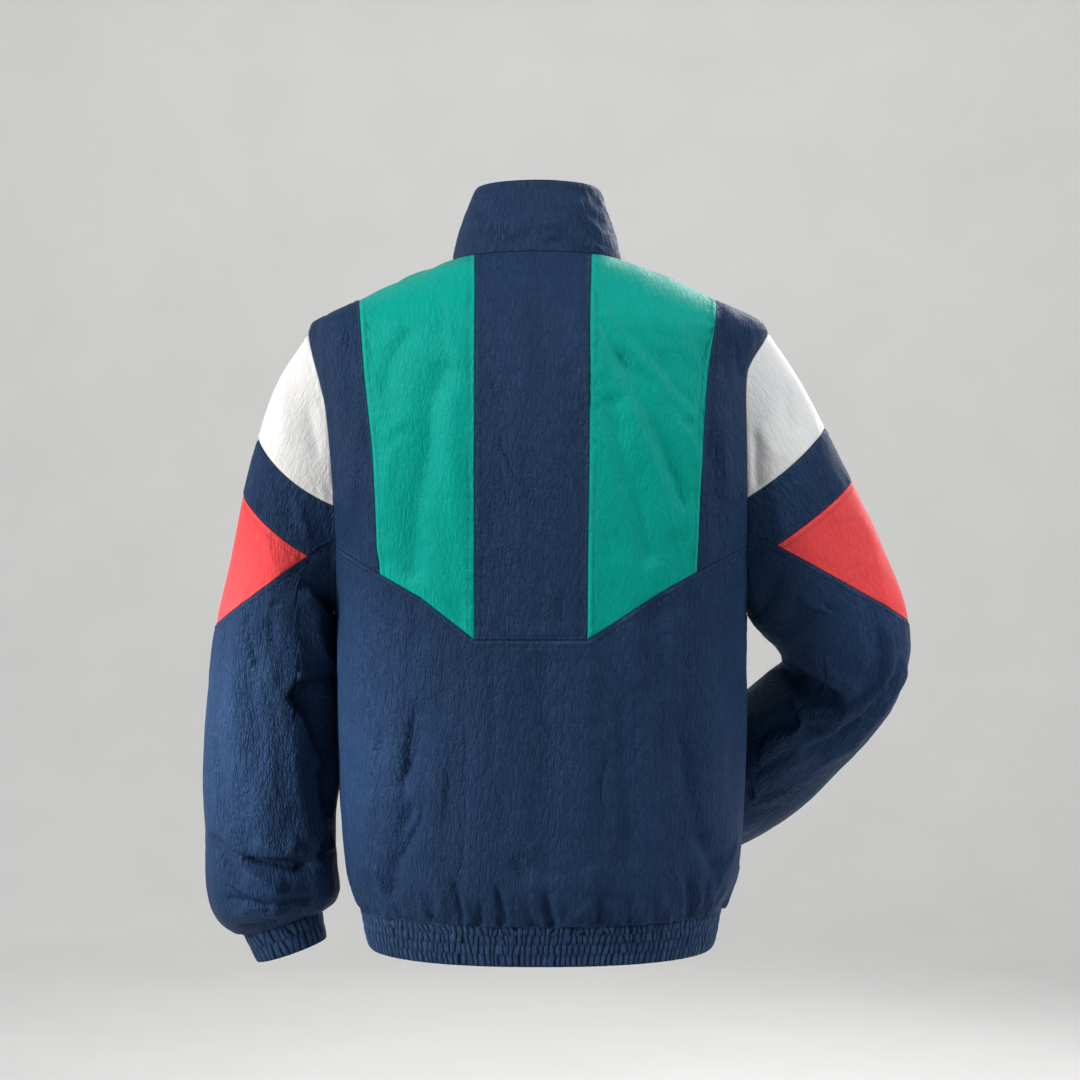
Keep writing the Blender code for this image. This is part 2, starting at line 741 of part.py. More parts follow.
class Panel:
    """One piece of cloth: grids of points and normals welded into one sheet, then given a wall."""

    def __init__(self, name, material, wall, grids, sink=0.0):
        self.name, self.material, self.wall, self.sink = name, material, wall, sink
        self.points, self.normals, self.faces = [], [], []
        self.found = {}
        for points, normals in grids:
            self.add_grid(points, normals)
        self.points = np.array(self.points)
        self.normals = np.array(self.normals)
        self.surface_normals = self.normals.copy()
        self.rims = self.find_rims()

    def vertex(self, point, normal):
        key = tuple(np.round(point, 6))
        if key not in self.found:
            self.found[key] = len(self.points)
            self.points.append(point)
            self.normals.append(normal)
        return self.found[key]

    def add_grid(self, points, normals):
        rows, columns = points.shape[:2]
        index = [[self.vertex(points[i, j], normals[i, j]) for j in range(columns)] for i in range(rows)]
        facing = 0.0
        faces = []
        for i in range(rows - 1):
            for j in range(columns - 1):
                corners = (index[i][j], index[i + 1][j], index[i + 1][j + 1], index[i][j + 1])
                face = [c for k, c in enumerate(corners) if c not in corners[:k]]
                if len(face) < 3:
                    continue
                faces.append(face)
                a, b, c = (np.array(self.points[k]) for k in face[:3])
                facing += float(np.dot(np.cross(b - a, c - a), self.normals[face[0]]))
        self.faces += faces if facing > 0 else [face[::-1] for face in faces]

    def find_rims(self):
        """The sheet's open edges, each with the next edge's start, in the order of the faces."""
        edges = {(a, b) for face in self.faces for a, b in zip(face, face[1:] + face[:1])}
        return {a: b for a, b in edges if (b, a) not in edges}

    def pull_back(self):
        """Moves the open edges half a seam gap into the sheet, measured square to each edge's wall."""
        before = {b: a for a, b in self.rims.items()}
        moved = self.points.copy()
        wanted = [SEAM_GAP / 2, SEAM_GAP / 2, 0.0]
        for here, after in self.rims.items():
            directions = []
            for start, end in ((before[here], here), (here, after)):
                edge = self.points[end] - self.points[start]
                side = np.cross(self.normals[here], edge)
                directions.append(side / np.linalg.norm(side))
            directions.append(self.surface_normals[here])
            step = np.linalg.lstsq(np.array(directions), np.array(wanted), rcond=0.15)[0]
            moved[here] += step
        self.points = moved

    def rim_faces(self, count):
        """The wall's edge. Both pieces at a seam split its twisted faces along the same diagonal."""
        faces = []
        for a, b in self.rims.items():
            rise = self.points[b] - self.points[a]
            if float(np.dot(rise, RIM_DIAGONAL)) > 0:
                faces += [[b, a, b + count], [a, a + count, b + count]]
            else:
                faces += [[b, a, a + count], [b, a + count, b + count]]
        return faces

    def build(self):
        outer = self.points - self.normals * self.sink
        inner = outer - self.normals * self.wall
        count = len(self.points)
        faces = list(self.faces)
        faces += [[k + count for k in reversed(face)] for face in self.faces]
        faces += self.rim_faces(count)
        mesh = bpy.data.meshes.new(self.name)
        mesh.from_pydata(np.concatenate([outer, inner]).tolist(), [], faces)
        mesh.validate()
        mesh.materials.append(self.material)
        mesh.shade_smooth()
        mesh.set_sharp_from_angle(angle=math.radians(50))
        piece = bpy.data.objects.new(self.name, mesh)
        bpy.context.collection.objects.link(piece)
        return piece


def share_seam_normals(panels):
    """Where pieces meet, gives them one direction through the wall, as thick as each wall square to it."""
    owners = [(panel, k) for panel in panels for k in panel.rims]
    places = np.array([panel.points[k] for panel, k in owners])
    normals = np.array([panel.normals[k] for panel, k in owners])
    for (panel, k), place, normal in zip(owners, places, normals):
        near = np.linalg.norm(places - place, axis=1) < 2e-5
        total = np.unique(np.round(normals[near], 3), axis=0).sum(axis=0)
        total /= np.linalg.norm(total)
        panel.normals[k] = total / max(0.6, float(np.dot(total, normal)))


# ------------------------------------------------------------------------------ materials


def material(name, colour, roughness, metallic=0.0):
    made = bpy.data.materials.new(name)
    made.use_nodes = True
    shader = made.node_tree.nodes["Principled BSDF"]
    shader.inputs["Base Color"].default_value = (*colour, 1)
    shader.inputs["Roughness"].default_value = roughness
    shader.inputs["Metallic"].default_value = metallic
    return made


# ------------------------------------------------------------------------------ the pieces

CENTRE_COLUMNS = 5
GREEN_COLUMNS = 6
GREEN_NECK_COLUMNS = 2
STRIP_COLUMNS = 3
NECK_FRONT_COLUMNS = 4
NECK_FRONT_CLOSER = 1.6
COLLAR_ROWS = 4
BAND_ROWS = 2
LOWER_ROWS = 6
SIDE_NAMES = {LEFT: "left", RIGHT: "right"}


class Half:
    """The seams of one side of the torso, each running from the middle outwards or from the top down."""

    def __init__(self, side, sleeve):
        name = SIDE_NAMES[side]
        self.side = side
        self.name = name
        upper = [angle for angle in sleeve.angles if angle < sleeve.yoke_angle + 1e-9]
        under = [angle for angle in sleeve.angles if angle > sleeve.yoke_angle - 1e-9]
        self.rows = len(upper) - 1
        self.armhole_back = armhole_seam(side, upper, BACK)
        self.armhole_front = armhole_seam(side, upper, FRONT)
        self.underarm_back = armhole_seam(side, under, BACK)
        self.underarm_front = armhole_seam(side, under, FRONT)

        shoulder_z = shoulder_height_of(name + "_outer")
        self.inner_edge = edge_down(name + "_inner", 0.0, YOKE_CENTRE_Z, self.rows)
        self.outer_edge = edge_down(name + "_outer", shoulder_z, YOKE_AT_GREEN[side], self.rows)
        self.neck_green = ring_seam(self.inner_edge[0, 0], side * RIGHT_ANGLE, 0.0, GREEN_NECK_COLUMNS)
        self.shoulder_green = shoulder_seam(side, 0.0, shoulder_z, GREEN_COLUMNS - GREEN_NECK_COLUMNS)
        self.shoulder_strip = shoulder_seam(side, shoulder_z, SHOULDER_Z, STRIP_COLUMNS)

        tip = (float(GREEN_EDGES(name + "_inner", YOKE_CENTRE_Z)), YOKE_CENTRE_Z)
        corner = (float(GREEN_EDGES(name + "_outer", YOKE_AT_GREEN[side])), YOKE_AT_GREEN[side])
        at_armhole = armhole_point(side, np.float64(sleeve.yoke_angle))
        bend = YOKE_BEND[side]
        self.yoke_green = joined(
            straight_seam(tip, bend, BACK, GREEN_COLUMNS // 2),
            straight_seam(bend, corner, BACK, GREEN_COLUMNS // 2),
        )
        self.yoke_strip = straight_seam(corner, (at_armhole[0], at_armhole[2]), BACK, STRIP_COLUMNS)
        self.yoke_strip[-1] = self.armhole_back[-1]

        self.neck_front = neck_front_seam(side, NECK_FRONT_COLUMNS)
        self.front_edge = front_edge_seam(side, np.linspace(-NECK_FRONT_DROP, FRONT_JOIN_Z, self.rows + 1))
        self.front_edge[0] = self.neck_front[0]
        columns = NECK_FRONT_COLUMNS + GREEN_COLUMNS - GREEN_NECK_COLUMNS + STRIP_COLUMNS
        start = torso_point(*self.front_edge[-1], FRONT)
        end = torso_point(*self.armhole_front[-1], FRONT)
        self.front_join = straight_seam((start[0], start[2]), (end[0], end[2]), FRONT, columns)
        self.front_join[0] = self.front_edge[-1]
        self.front_join[-1] = self.armhole_front[-1]
        self.front_top = joined(self.front_join, self.underarm_front)
        self.lower_edge = front_edge_seam(side, rows_to_hem(FRONT_JOIN_Z, LOWER_ROWS))
        hem_edge = lean_at(TORSO("centre_x", HEM_SEAM_Z) + side * FRONT_EDGE, HEM_SEAM_Z, FRONT)
        self.front_hem = hem_under(self.front_top, hem_edge, side * RIGHT_ANGLE, FRONT)


def hem_under(top, start, end, face):
    """The hem seam between two leans, with its rows spaced as those of the seam above it."""
    points = torso_point(top[:, 0], top[:, 1], face)
    travelled = np.concatenate([[0], np.cumsum(np.linalg.norm(np.diff(points, axis=0), axis=1))])
    fine = ring_seam(start, end, HEM_SEAM_Z, 400)
    places = torso_point(fine[:, 0], fine[:, 1], face)
    reached = np.concatenate([[0], np.cumsum(np.linalg.norm(np.diff(places, axis=0), axis=1))])
    wanted = travelled / travelled[-1] * reached[-1]
    leans = np.interp(wanted, reached, fine[:, 0])
    return np.stack([leans, np.full(len(leans), HEM_SEAM_Z)], axis=-1)


def upper_back_panels(halves, cloth):
    left, right = halves[LEFT], halves[RIGHT]
    neck = ring_seam(left.inner_edge[0, 0], right.inner_edge[0, 0], 0.0, CENTRE_COLUMNS)
    start, end = left.inner_edge[-1], right.inner_edge[-1]
    start_x = torso_point(*start, BACK)[0]
    end_x = torso_point(*end, BACK)[0]
    bottom = straight_seam((start_x, YOKE_CENTRE_Z), (end_x, YOKE_CENTRE_Z), BACK, CENTRE_COLUMNS)
    bottom[0], bottom[-1] = start, end
    centre = filled(neck, bottom, left.inner_edge, right.inner_edge)
    panels = [Panel("back_centre", cloth["navy"], CLOTH, [torso_grid(centre, BACK)])]
    for half in halves.values():
        green = filled(
            joined(half.neck_green, half.shoulder_green), half.yoke_green, half.inner_edge, half.outer_edge
        )
        strip = filled(half.shoulder_strip, half.yoke_strip, half.outer_edge, half.armhole_back)
        panels.append(Panel("back_green_" + half.name, cloth["green"], CLOTH, [torso_grid(green, BACK)]))
        panels.append(Panel("back_side_" + half.name, cloth["navy"], CLOTH, [torso_grid(strip, BACK)]))
    return panels, neck, bottom


def lower_back_top(halves, centre_bottom):
    """The seam at the top of the lower back, from the left underarm over the yoke to the right one."""
    left, right = halves[LEFT], halves[RIGHT]
    return joined(
        left.underarm_back[::-1],
        left.yoke_strip[::-1],
        left.yoke_green[::-1],
        centre_bottom,
        right.yoke_green,
        right.yoke_strip,
        right.underarm_back,
    )


def lower_back_panel(halves, centre_bottom, cloth):
    top = lower_back_top(halves, centre_bottom)
    hem = hem_under(top, RIGHT_ANGLE, -RIGHT_ANGLE, BACK)
    rows = filled(top, hem, side_seam(LEFT, LOWER_ROWS), side_seam(RIGHT, LOWER_ROWS))
    return Panel("back_lower", cloth["navy"], CLOTH, [torso_grid(rows, BACK)]), hem


def front_panel(half, cloth):
    top = joined(half.neck_front, half.shoulder_green, half.shoulder_strip)
    upper = filled(top, half.front_join, half.front_edge, half.armhole_front)
    lower = filled(half.front_top, half.front_hem, half.lower_edge, side_seam(half.side, LOWER_ROWS))
    grids = [torso_grid(upper, FRONT), torso_grid(lower, FRONT)]
    return Panel("front_" + half.name, cloth["navy"], CLOTH, grids)


def collar_panel(halves, neck, cloth):
    """The collar on the neck seam, from the left front round the back to the right front."""
    base, turns = [], []

    def add(seam, face, seam_turns):
        points = torso_point(seam[:, 0], seam[:, 1], face)
        skip = 1 if turns else 0
        base.extend(points[skip:])
        turns.extend(seam_turns[skip:])

    share = np.linspace(0, 1, NECK_FRONT_COLUMNS + 1) ** NECK_FRONT_CLOSER
    quarter = math.pi - share * RIGHT_ANGLE
    add(halves[LEFT].neck_front, FRONT, quarter)
    for seam in (halves[LEFT].neck_green[::-1], neck, halves[RIGHT].neck_green):
        add(seam, BACK, seam[:, 0])
    add(halves[RIGHT].neck_front[::-1], FRONT, -quarter[::-1])
    grid = collar_grid(np.array(base), np.array(turns), COLLAR_ROWS)
    return Panel("collar", cloth["navy"], COLLAR_WALL, [grid])


def sleeve_panels(sleeve, cloth):
    side = sleeve.side
    prefix = "sleeve_" + SIDE_NAMES[side] + "_"
    start = {angle: 0.0 for angle in sleeve.angles}
    end = {angle: SLEEVE_END[side] for angle in sleeve.angles}
    cap_bottom = {angle: sleeve.cap_bottom(angle) for angle in sleeve.angles}
    band_bottom = {angle: sleeve.band_bottom(angle) for angle in sleeve.angles}
    lower_top = {angle: sleeve.lower_top(angle) for angle in sleeve.angles}
    red_top = {angle: sleeve.red_top(angle) for angle in sleeve.angles}

    def panel(name, material_name, last_angle, top, bottom, rows):
        angles = [angle for angle in sleeve.angles if angle < last_angle + 1e-9]
        grid = sleeve_columns(side, angles, top, bottom, rows)
        return Panel(prefix + name, cloth[material_name], CLOTH, [grid])

    turn = sleeve.angles
    cuff_angles = np.array(mirrored_angles(turn))
    share = np.linspace(0, 1, BAND_ROWS + 1)[:, None]
    angle, share = np.broadcast_arrays(cuff_angles, share)
    cuff = cuff_point(side, angle, share)
    ring_middle = cuff.mean(axis=1, keepdims=True)
    cuff_grid = (cuff, grid_normals(cuff, cuff - ring_middle))
    return [
        panel("cap", "white", sleeve.cap_end, start, cap_bottom, 3),
        panel("band", "navy", sleeve.band_end, cap_bottom, band_bottom, 2),
        panel("red", "red", sleeve.tip_angle, red_top, lower_top, 3),
        panel("lower", "navy", math.pi, lower_top, end, 10),
        Panel(prefix + "cuff", cloth["rib"], BAND_WALL, [cuff_grid]),
    ]


def waistband_panel(halves, hem, cloth):
    seams = [(halves[LEFT].front_hem, FRONT), (hem, BACK), (halves[RIGHT].front_hem[::-1], FRONT)]
    return Panel("waistband", cloth["rib"], BAND_WALL, [waistband_grid(seams, BAND_ROWS)])


# ------------------------------------------------------------------------------ the zip


def zip_grids(half, first, last):
    """The surface beside the zip between two of its lines, from the waistband's lower edge to the top."""
    offsets = np.array([-TAPE_HALF_WIDTH, -CHAIN_HALF_WIDTH, 0.0, CHAIN_HALF_WIDTH, TAPE_HALF_WIDTH])
    band = np.linspace(HEM_Z, HEM_SEAM_Z, BAND_ROWS + 1)
    body = np.concatenate([half.lower_edge[::-1, 1], half.front_edge[-2::-1, 1]])
    heights = np.concatenate([band, body[1:]])[:, None]
    height, offset = np.broadcast_arrays(heights, offsets)
    leans = lean_at(TORSO("centre_x", height) + offset, height, FRONT)
    points, normals = torso_point(leans, height, FRONT), torso_normal(leans, height, FRONT)

    share = np.linspace(1, 0, COLLAR_ROWS + 1)[:, None, None]
    top_y = -COLLAR_TOP_HALF_DEPTH * np.sqrt(1 - (offsets / COLLAR_TOP_HALF_WIDTH) ** 2)
    top_x = TORSO("centre_x", 0.0) + offsets
    top = np.stack([top_x, top_y, np.full(len(offsets), COLLAR_FRONT_TOP)], axis=-1)
    ahead = np.array([0.0, -1.0, 0.0])
    collar = top + (points[-1] - top) * share + COLLAR_BULGE * np.sin(math.pi * share) * ahead
    collar_normals = grid_normals(collar, ahead)
    lines = slice(first, last + 1, last - first)
    return [(points[:, lines], normals[:, lines]), (collar[:, lines], collar_normals[:, lines])]


def zip_panels(half, cloth):
    middle = 2
    return [
        Panel("zip_tape_left", cloth["tape"], TAPE_WALL, zip_grids(half, middle, 4), TAPE_DEPTH),
        Panel("zip_tape_right", cloth["tape"], TAPE_WALL, zip_grids(half, 0, middle), TAPE_DEPTH),
        Panel("zip_chain", cloth["tape"], CHAIN_WALL, zip_grids(half, 1, 3), -CHAIN_PROUD),
    ]


def slider_place():
    """Where the pull's bar turns: x across the zip, y up the chain and z out from it."""
    base = torso_point(np.float64(0), np.float64(-NECK_FRONT_DROP), FRONT)
    top = np.array([float(TORSO("centre_x", 0.0)), -COLLAR_TOP_HALF_DEPTH, COLLAR_FRONT_TOP])
    height = np.linalg.norm(top - base)
    share = SLIDER_BELOW_TOP / height
    ahead = np.array([0.0, -1.0, 0.0])
    surface = top + (base - top) * share + COLLAR_BULGE * math.sin(math.pi * share) * ahead
    rise = top - base - COLLAR_BULGE * math.pi * math.cos(math.pi * share) * ahead
    up = Vector(rise).normalized()
    across = Vector((1, 0, 0))
    across = (across - up * across.dot(up)).normalized()
    out = across.cross(up)
    axis_height = CHAIN_PROUD + SLIDER_GAP + SLIDER_SIZE[2] + TUNNEL_HALF
    place = Matrix((across, up, out)).transposed().to_4x4()
    place.translation = Vector(surface) + out * axis_height
    return place


def box(name, low, high, metal):
    """A box between two corners, in the slider's frame."""
    mesh = bpy.data.meshes.new(name)
    work = bmesh.new()
    bmesh.ops.create_cube(work, size=1.0)
    for vertex in work.verts:
        for i in range(3):
            vertex.co[i] = low[i] if vertex.co[i] < 0 else high[i]
    work.to_mesh(mesh)
    work.free()
    mesh.materials.append(metal)
    piece = bpy.data.objects.new(name, mesh)
    bpy.context.collection.objects.link(piece)
    return piece


def outline_plate(name, outline, low, high, metal):
    """A flat piece with an outline in x and y, between two heights in z."""
    mesh = bpy.data.meshes.new(name)
    work = bmesh.new()
    face = work.faces.new([work.verts.new((x, y, low)) for x, y in outline])
    raised = bmesh.ops.extrude_face_region(work, geom=[face])["geom"]
    corners = [item for item in raised if isinstance(item, bmesh.types.BMVert)]
    bmesh.ops.translate(work, verts=corners, vec=(0, 0, high - low))
    bmesh.ops.recalc_face_normals(work, faces=work.faces)
    work.to_mesh(mesh)
    work.free()
    mesh.materials.append(metal)
    piece = bpy.data.objects.new(name, mesh)
    bpy.context.collection.objects.link(piece)
    return piece


def rounded_outline(half_width, bottom, top, radius, steps=5):
    """A rectangle with round corners, anticlockwise."""
    outline = []
    corners = [
        (half_width - radius, bottom + radius, -RIGHT_ANGLE),
        (half_width - radius, top - radius, 0.0),
        (-half_width + radius, top - radius, RIGHT_ANGLE),
        (-half_width + radius, bottom + radius, math.pi),
    ]
    for x, y, start in corners:
        for i in range(steps):
            angle = start + RIGHT_ANGLE * i / (steps - 1)
            outline.append((x + radius * math.cos(angle), y + radius * math.sin(angle)))
    return outline


def combined(piece, helper, operation):
    """A Boolean with a helper that the build leaves out."""
    helper.hide_render = True
    helper.display_type = "WIRE"
    cut = piece.modifiers.new(operation.lower(), "BOOLEAN")
    cut.operation = operation
    cut.solver = "EXACT"
    cut.object = helper


def slider_and_pull(metal):
    place = slider_place()
    width, length, thickness = SLIDER_SIZE
    plate_top = -TUNNEL_HALF
    outline = rounded_outline(width / 2, -length / 2, length / 2, SLIDER_CORNER)
    slider = outline_plate("zip_slider", outline, plate_top - thickness, plate_top, metal)
    near, far = CROWN_POST
    sunk = plate_top - thickness / 2
    strap_top = TUNNEL_HALF + CROWN_STRAP
    crown = box("crown", (-CROWN_WIDTH / 2, -far, sunk), (CROWN_WIDTH / 2, far, strap_top), metal)
    tunnel = box("tunnel", (-CROWN_WIDTH, -near, plate_top), (CROWN_WIDTH, near, TUNNEL_HALF), metal)
    combined(slider, crown, "UNION")
    combined(slider, tunnel, "DIFFERENCE")

    width, length, thickness = PULL_SIZE
    outline = rounded_outline(width / 2, PULL_BAR / 2 - length, PULL_BAR / 2, PULL_CORNER)
    pull = outline_plate("zip_pull", outline, -thickness / 2, thickness / 2, metal)
    window_width, window_length = PULL_WINDOW
    window = box(
        "window",
        (-window_width / 2, -PULL_BAR / 2 - window_length, -thickness),
        (window_width / 2, -PULL_BAR / 2, thickness),
        metal,
    )
    combined(pull, window, "DIFFERENCE")
    for piece in (slider, crown, tunnel, pull, window):
        piece.matrix_world = place


# ------------------------------------------------------------------------------ the jacket


def main():
    for old in list(bpy.data.objects):
        bpy.data.objects.remove(old)
    cloth = {
        "navy": material("navy_nylon", NAVY, 0.42),
        "green": material("green_nylon", GREEN, 0.38),
        "white": material("white_nylon", WHITE, 0.40),
        "red": material("red_nylon", RED, 0.38),
        "rib": material("navy_elastic", NAVY, 0.60),
        "tape": material("zip_navy", ZIP_NAVY, 0.70),
    }
    sleeves = {side: SleeveSeams(side) for side in (LEFT, RIGHT)}
    halves = {side: Half(side, sleeves[side]) for side in (LEFT, RIGHT)}
    panels, neck, centre_bottom = upper_back_panels(halves, cloth)
    lower_back, hem = lower_back_panel(halves, centre_bottom, cloth)
    panels.append(lower_back)
    panels += [front_panel(half, cloth) for half in halves.values()]
    panels.append(collar_panel(halves, neck, cloth))
    panels.append(waistband_panel(halves, hem, cloth))
    for sleeve in sleeves.values():
        panels += sleeve_panels(sleeve, cloth)
    share_seam_normals(panels)
    panels += zip_panels(halves[LEFT], cloth)
    for panel in panels:
        panel.pull_back()
        panel.build()
    slider_and_pull(material("nickel", NICKEL, 0.30, metallic=1.0))


main()
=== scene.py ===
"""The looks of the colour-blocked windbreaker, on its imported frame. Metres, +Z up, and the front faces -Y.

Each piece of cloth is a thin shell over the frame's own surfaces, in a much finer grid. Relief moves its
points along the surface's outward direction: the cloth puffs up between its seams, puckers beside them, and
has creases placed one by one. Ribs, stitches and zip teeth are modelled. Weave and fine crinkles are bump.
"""

# The materials also paint shade into the crinkles' furrows, the seam crevices, the stitch grooves and the rib
# gaps, and light onto the ridges.
import math

import bpy
import numpy as np
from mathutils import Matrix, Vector


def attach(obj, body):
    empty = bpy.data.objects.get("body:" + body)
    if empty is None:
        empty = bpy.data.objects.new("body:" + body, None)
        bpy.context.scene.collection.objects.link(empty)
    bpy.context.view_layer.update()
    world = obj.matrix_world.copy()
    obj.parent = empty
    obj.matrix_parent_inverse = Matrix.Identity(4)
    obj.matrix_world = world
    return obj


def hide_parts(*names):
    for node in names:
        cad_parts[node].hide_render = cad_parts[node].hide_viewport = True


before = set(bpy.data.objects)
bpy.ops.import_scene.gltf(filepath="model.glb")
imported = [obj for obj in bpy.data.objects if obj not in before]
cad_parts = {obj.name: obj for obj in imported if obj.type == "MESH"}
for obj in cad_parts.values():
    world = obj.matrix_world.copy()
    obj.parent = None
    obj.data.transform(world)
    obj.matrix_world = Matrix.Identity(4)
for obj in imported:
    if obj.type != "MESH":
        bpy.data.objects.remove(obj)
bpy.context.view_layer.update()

MM = 0.001
TINY = 1e-9
RIGHT_ANGLE = math.pi / 2
LEFT, RIGHT = 1, -1
BACK, FRONT = 1, -1
SIDE_NAMES = {LEFT: "left", RIGHT: "right"}

# ---- sizes shared with the frame

CLOTH = 0.0006
COLLAR_WALL = 0.0018
BAND_WALL = 0.0020

SHOULDER_Z = -0.072
UNDERARM_Z = -0.345
TRUNK_MIDDLE_Z = -0.420
HEM_SEAM_Z = -0.643
HEM_Z = -0.681
ARMHOLE_HALF_DEPTH = 0.062
ARMHOLE_MIDDLE_Z = (SHOULDER_Z + UNDERARM_Z) / 2
ARMHOLE_REACH_Z = (SHOULDER_Z - UNDERARM_Z) / 2

NECK_FRONT_DROP = 0.045
COLLAR_BACK_TOP = 0.0717
COLLAR_FRONT_TOP = 0.030
COLLAR_TOP_HALF_WIDTH = 0.061
COLLAR_TOP_HALF_DEPTH = 0.060
COLLAR_BULGE = 0.003

CUFF_HEIGHT = 0.030
CUFF_TAPER = 0.90
SLEEVE_RADIUS = 0.064
GRAIN_RADIUS = 0.066  # the sleeve's radius, for the scale of its weave

FRONT_EDGE = 0.0033
TAPE_HALF_WIDTH = 0.014
TAPE_DEPTH = 0.0026
TAPE_WALL = 0.0010

# ---- lines, vectors and tables


def unit(vectors, least=0.0):
    """Vectors made 1 long, apart from those that are shorter than least."""
    return vectors / np.maximum(np.linalg.norm(vectors, axis=-1, keepdims=True), least)


def length_of(points):
    """How far each point of a line is from its start, along the line."""
    return np.concatenate([[0], np.cumsum(np.linalg.norm(np.diff(points, axis=0), axis=1))])


def read_at(wanted, reached, rows):
    """Rows of numbers at the wanted distances, read between rows at the distances reached."""
    return np.stack([np.interp(wanted, reached, column) for column in rows.T], axis=-1)


def halve(low, high, past, rounds=40):
    """Halves the spans from low to high, round the places where past turns true."""
    for _ in range(rounds):
        middle = (low + high) / 2
        beyond = past(middle)
        low, high = np.where(beyond, low, middle), np.where(beyond, middle, high)
    return low, high


class Table:
    """Rows of named columns, read smoothly between the rows by the first column."""

    def __init__(self, names, rows):
        values = np.array(sorted(rows), float)
        self.key = values[:, 0]
        self.columns = {name: values[:, i] for i, name in enumerate(names.split())}
        self.slopes = {name: self.monotone_slopes(column) for name, column in self.columns.items()}

    def monotone_slopes(self, column):
        step = np.diff(self.key)
        rise = np.diff(column) / step
        slopes = np.zeros_like(column)
        slopes[0], slopes[-1] = rise[0], rise[-1]
        before, after = rise[:-1], rise[1:]
        turning = before * after <= 0
        before = np.where(turning, 1, before)
        after = np.where(turning, 1, after)
        weight_before = step[:-1] + 2 * step[1:]
        weight_after = 2 * step[:-1] + step[1:]
        mean = (weight_before + weight_after) / (weight_before / before + weight_after / after)
        slopes[1:-1] = np.where(turning, 0, mean)
        return slopes

    def __call__(self, name, key):
        key = np.clip(np.asarray(key, float), self.key[0], self.key[-1])
        row = np.clip(np.searchsorted(self.key, key, side="right") - 1, 0, len(self.key) - 2)
        step = self.key[row + 1] - self.key[row]
        t = (key - self.key[row]) / step
        column, slopes = self.columns[name], self.slopes[name]
        return (
            column[row] * (1 + 2 * t) * (1 - t) ** 2
            + column[row + 1] * t * t * (3 - 2 * t)
            + step * slopes[row] * t * (1 - t) ** 2
            - step * slopes[row + 1] * t * t * (1 - t)
        )


# The torso's rings: the middle of the ring, its depth behind and in front of the shoulder line, and the
# power of its superellipse.
TORSO = Table(
    "height centre_x back_depth front_depth squareness",
    [
        (0, 0.003, 0.078, 0.05, 2), (-0.02, 0.0025, 0.094, 0.07, 2.02), (-0.045, 0.002, 0.11, 0.088, 2.05),
        (-0.075, 0.0015, 0.121, 0.102, 2.1), (-0.11, 0.001, 0.13, 0.113, 2.16),
        (-0.15, 0.0005, 0.136, 0.121, 2.22), (-0.2, 0, 0.14, 0.128, 2.28),
        (-0.28, -0.0012, 0.141, 0.132, 2.3), (-0.345, -0.002, 0.14, 0.133, 2.3),
        (-0.45, -0.002, 0.137, 0.129, 2.3), (-0.55, -0.002, 0.134, 0.125, 2.3),
        (-0.6, -0.002, 0.132, 0.122, 2.3), (-0.625, -0.0015, 0.129, 0.119, 2.28),
        (-0.643, -0.001, 0.123, 0.113, 2.25), (-0.681, -0.001, 0.118, 0.108, 2.25),
    ],
)

# Half the width between the shoulder seams, from the shoulder point up to the neck.
SHOULDER_LINE = Table(
    "height half_width",
    [
        (0, 0.084), (-0.018, 0.131), (-0.039, 0.175), (-0.0525, 0.2055), (-0.058, 0.2165), (-0.065, 0.226),
        (-0.072, 0.229),
    ],
)

# How far the armhole seam stands from the ring's middle.
ARMHOLE = Table(
    "height left_reach right_reach",
    [
        (-0.072, 0.229, 0.229), (-0.085, 0.2256, 0.2205), (-0.0996, 0.2215, 0.2105),
        (-0.113, 0.2174, 0.204), (-0.13, 0.2126, 0.2018), (-0.148, 0.2085, 0.201), (-0.211, 0.2025, 0.2008),
        (-0.245, 0.201, 0.201), (-0.283, 0.2005, 0.201), (-0.345, 0.204, 0.204),
    ],
)

# Half the width of the body and of the waistband under the arms.
TRUNK = Table(
    "height half_width",
    [
        (-0.345, 0.204), (-0.45, 0.2035), (-0.53, 0.201), (-0.572, 0.1985), (-0.6, 0.1955), (-0.622, 0.19),
        (-0.636, 0.184), (-0.643, 0.18), (-0.67, 0.1745), (-0.681, 0.171),
    ],
)

# Seams that run down the back, by height: the long edges of the green panels.
GREEN_EDGES = Table(
    "height left_outer left_inner right_inner right_outer",
    [
        (0, 0.1775, 0.0637, -0.0497, -0.1725), (-0.04, 0.1775, 0.062, -0.048, -0.1725),
        (-0.06, 0.174, 0.0618, -0.0473, -0.17), (-0.125, 0.1675, 0.0615, -0.0468, -0.16),
        (-0.2, 0.159, 0.0614, -0.046, -0.1545), (-0.31, 0.1525, 0.0613, -0.0445, -0.149),
        (-0.37, 0.15, 0.0613, -0.0441, -0.148),
    ],
)

# Heights of the corners of the seam across the back.
YOKE_AT_ARMHOLE = {LEFT: -0.2840, RIGHT: -0.2830}
YOKE_AT_GREEN = {LEFT: -0.3105, RIGHT: -0.3085}
YOKE_BEND = {LEFT: (0.1130, -0.3320), RIGHT: (-0.1120, -0.3285)}
YOKE_CENTRE_Z = -0.3715

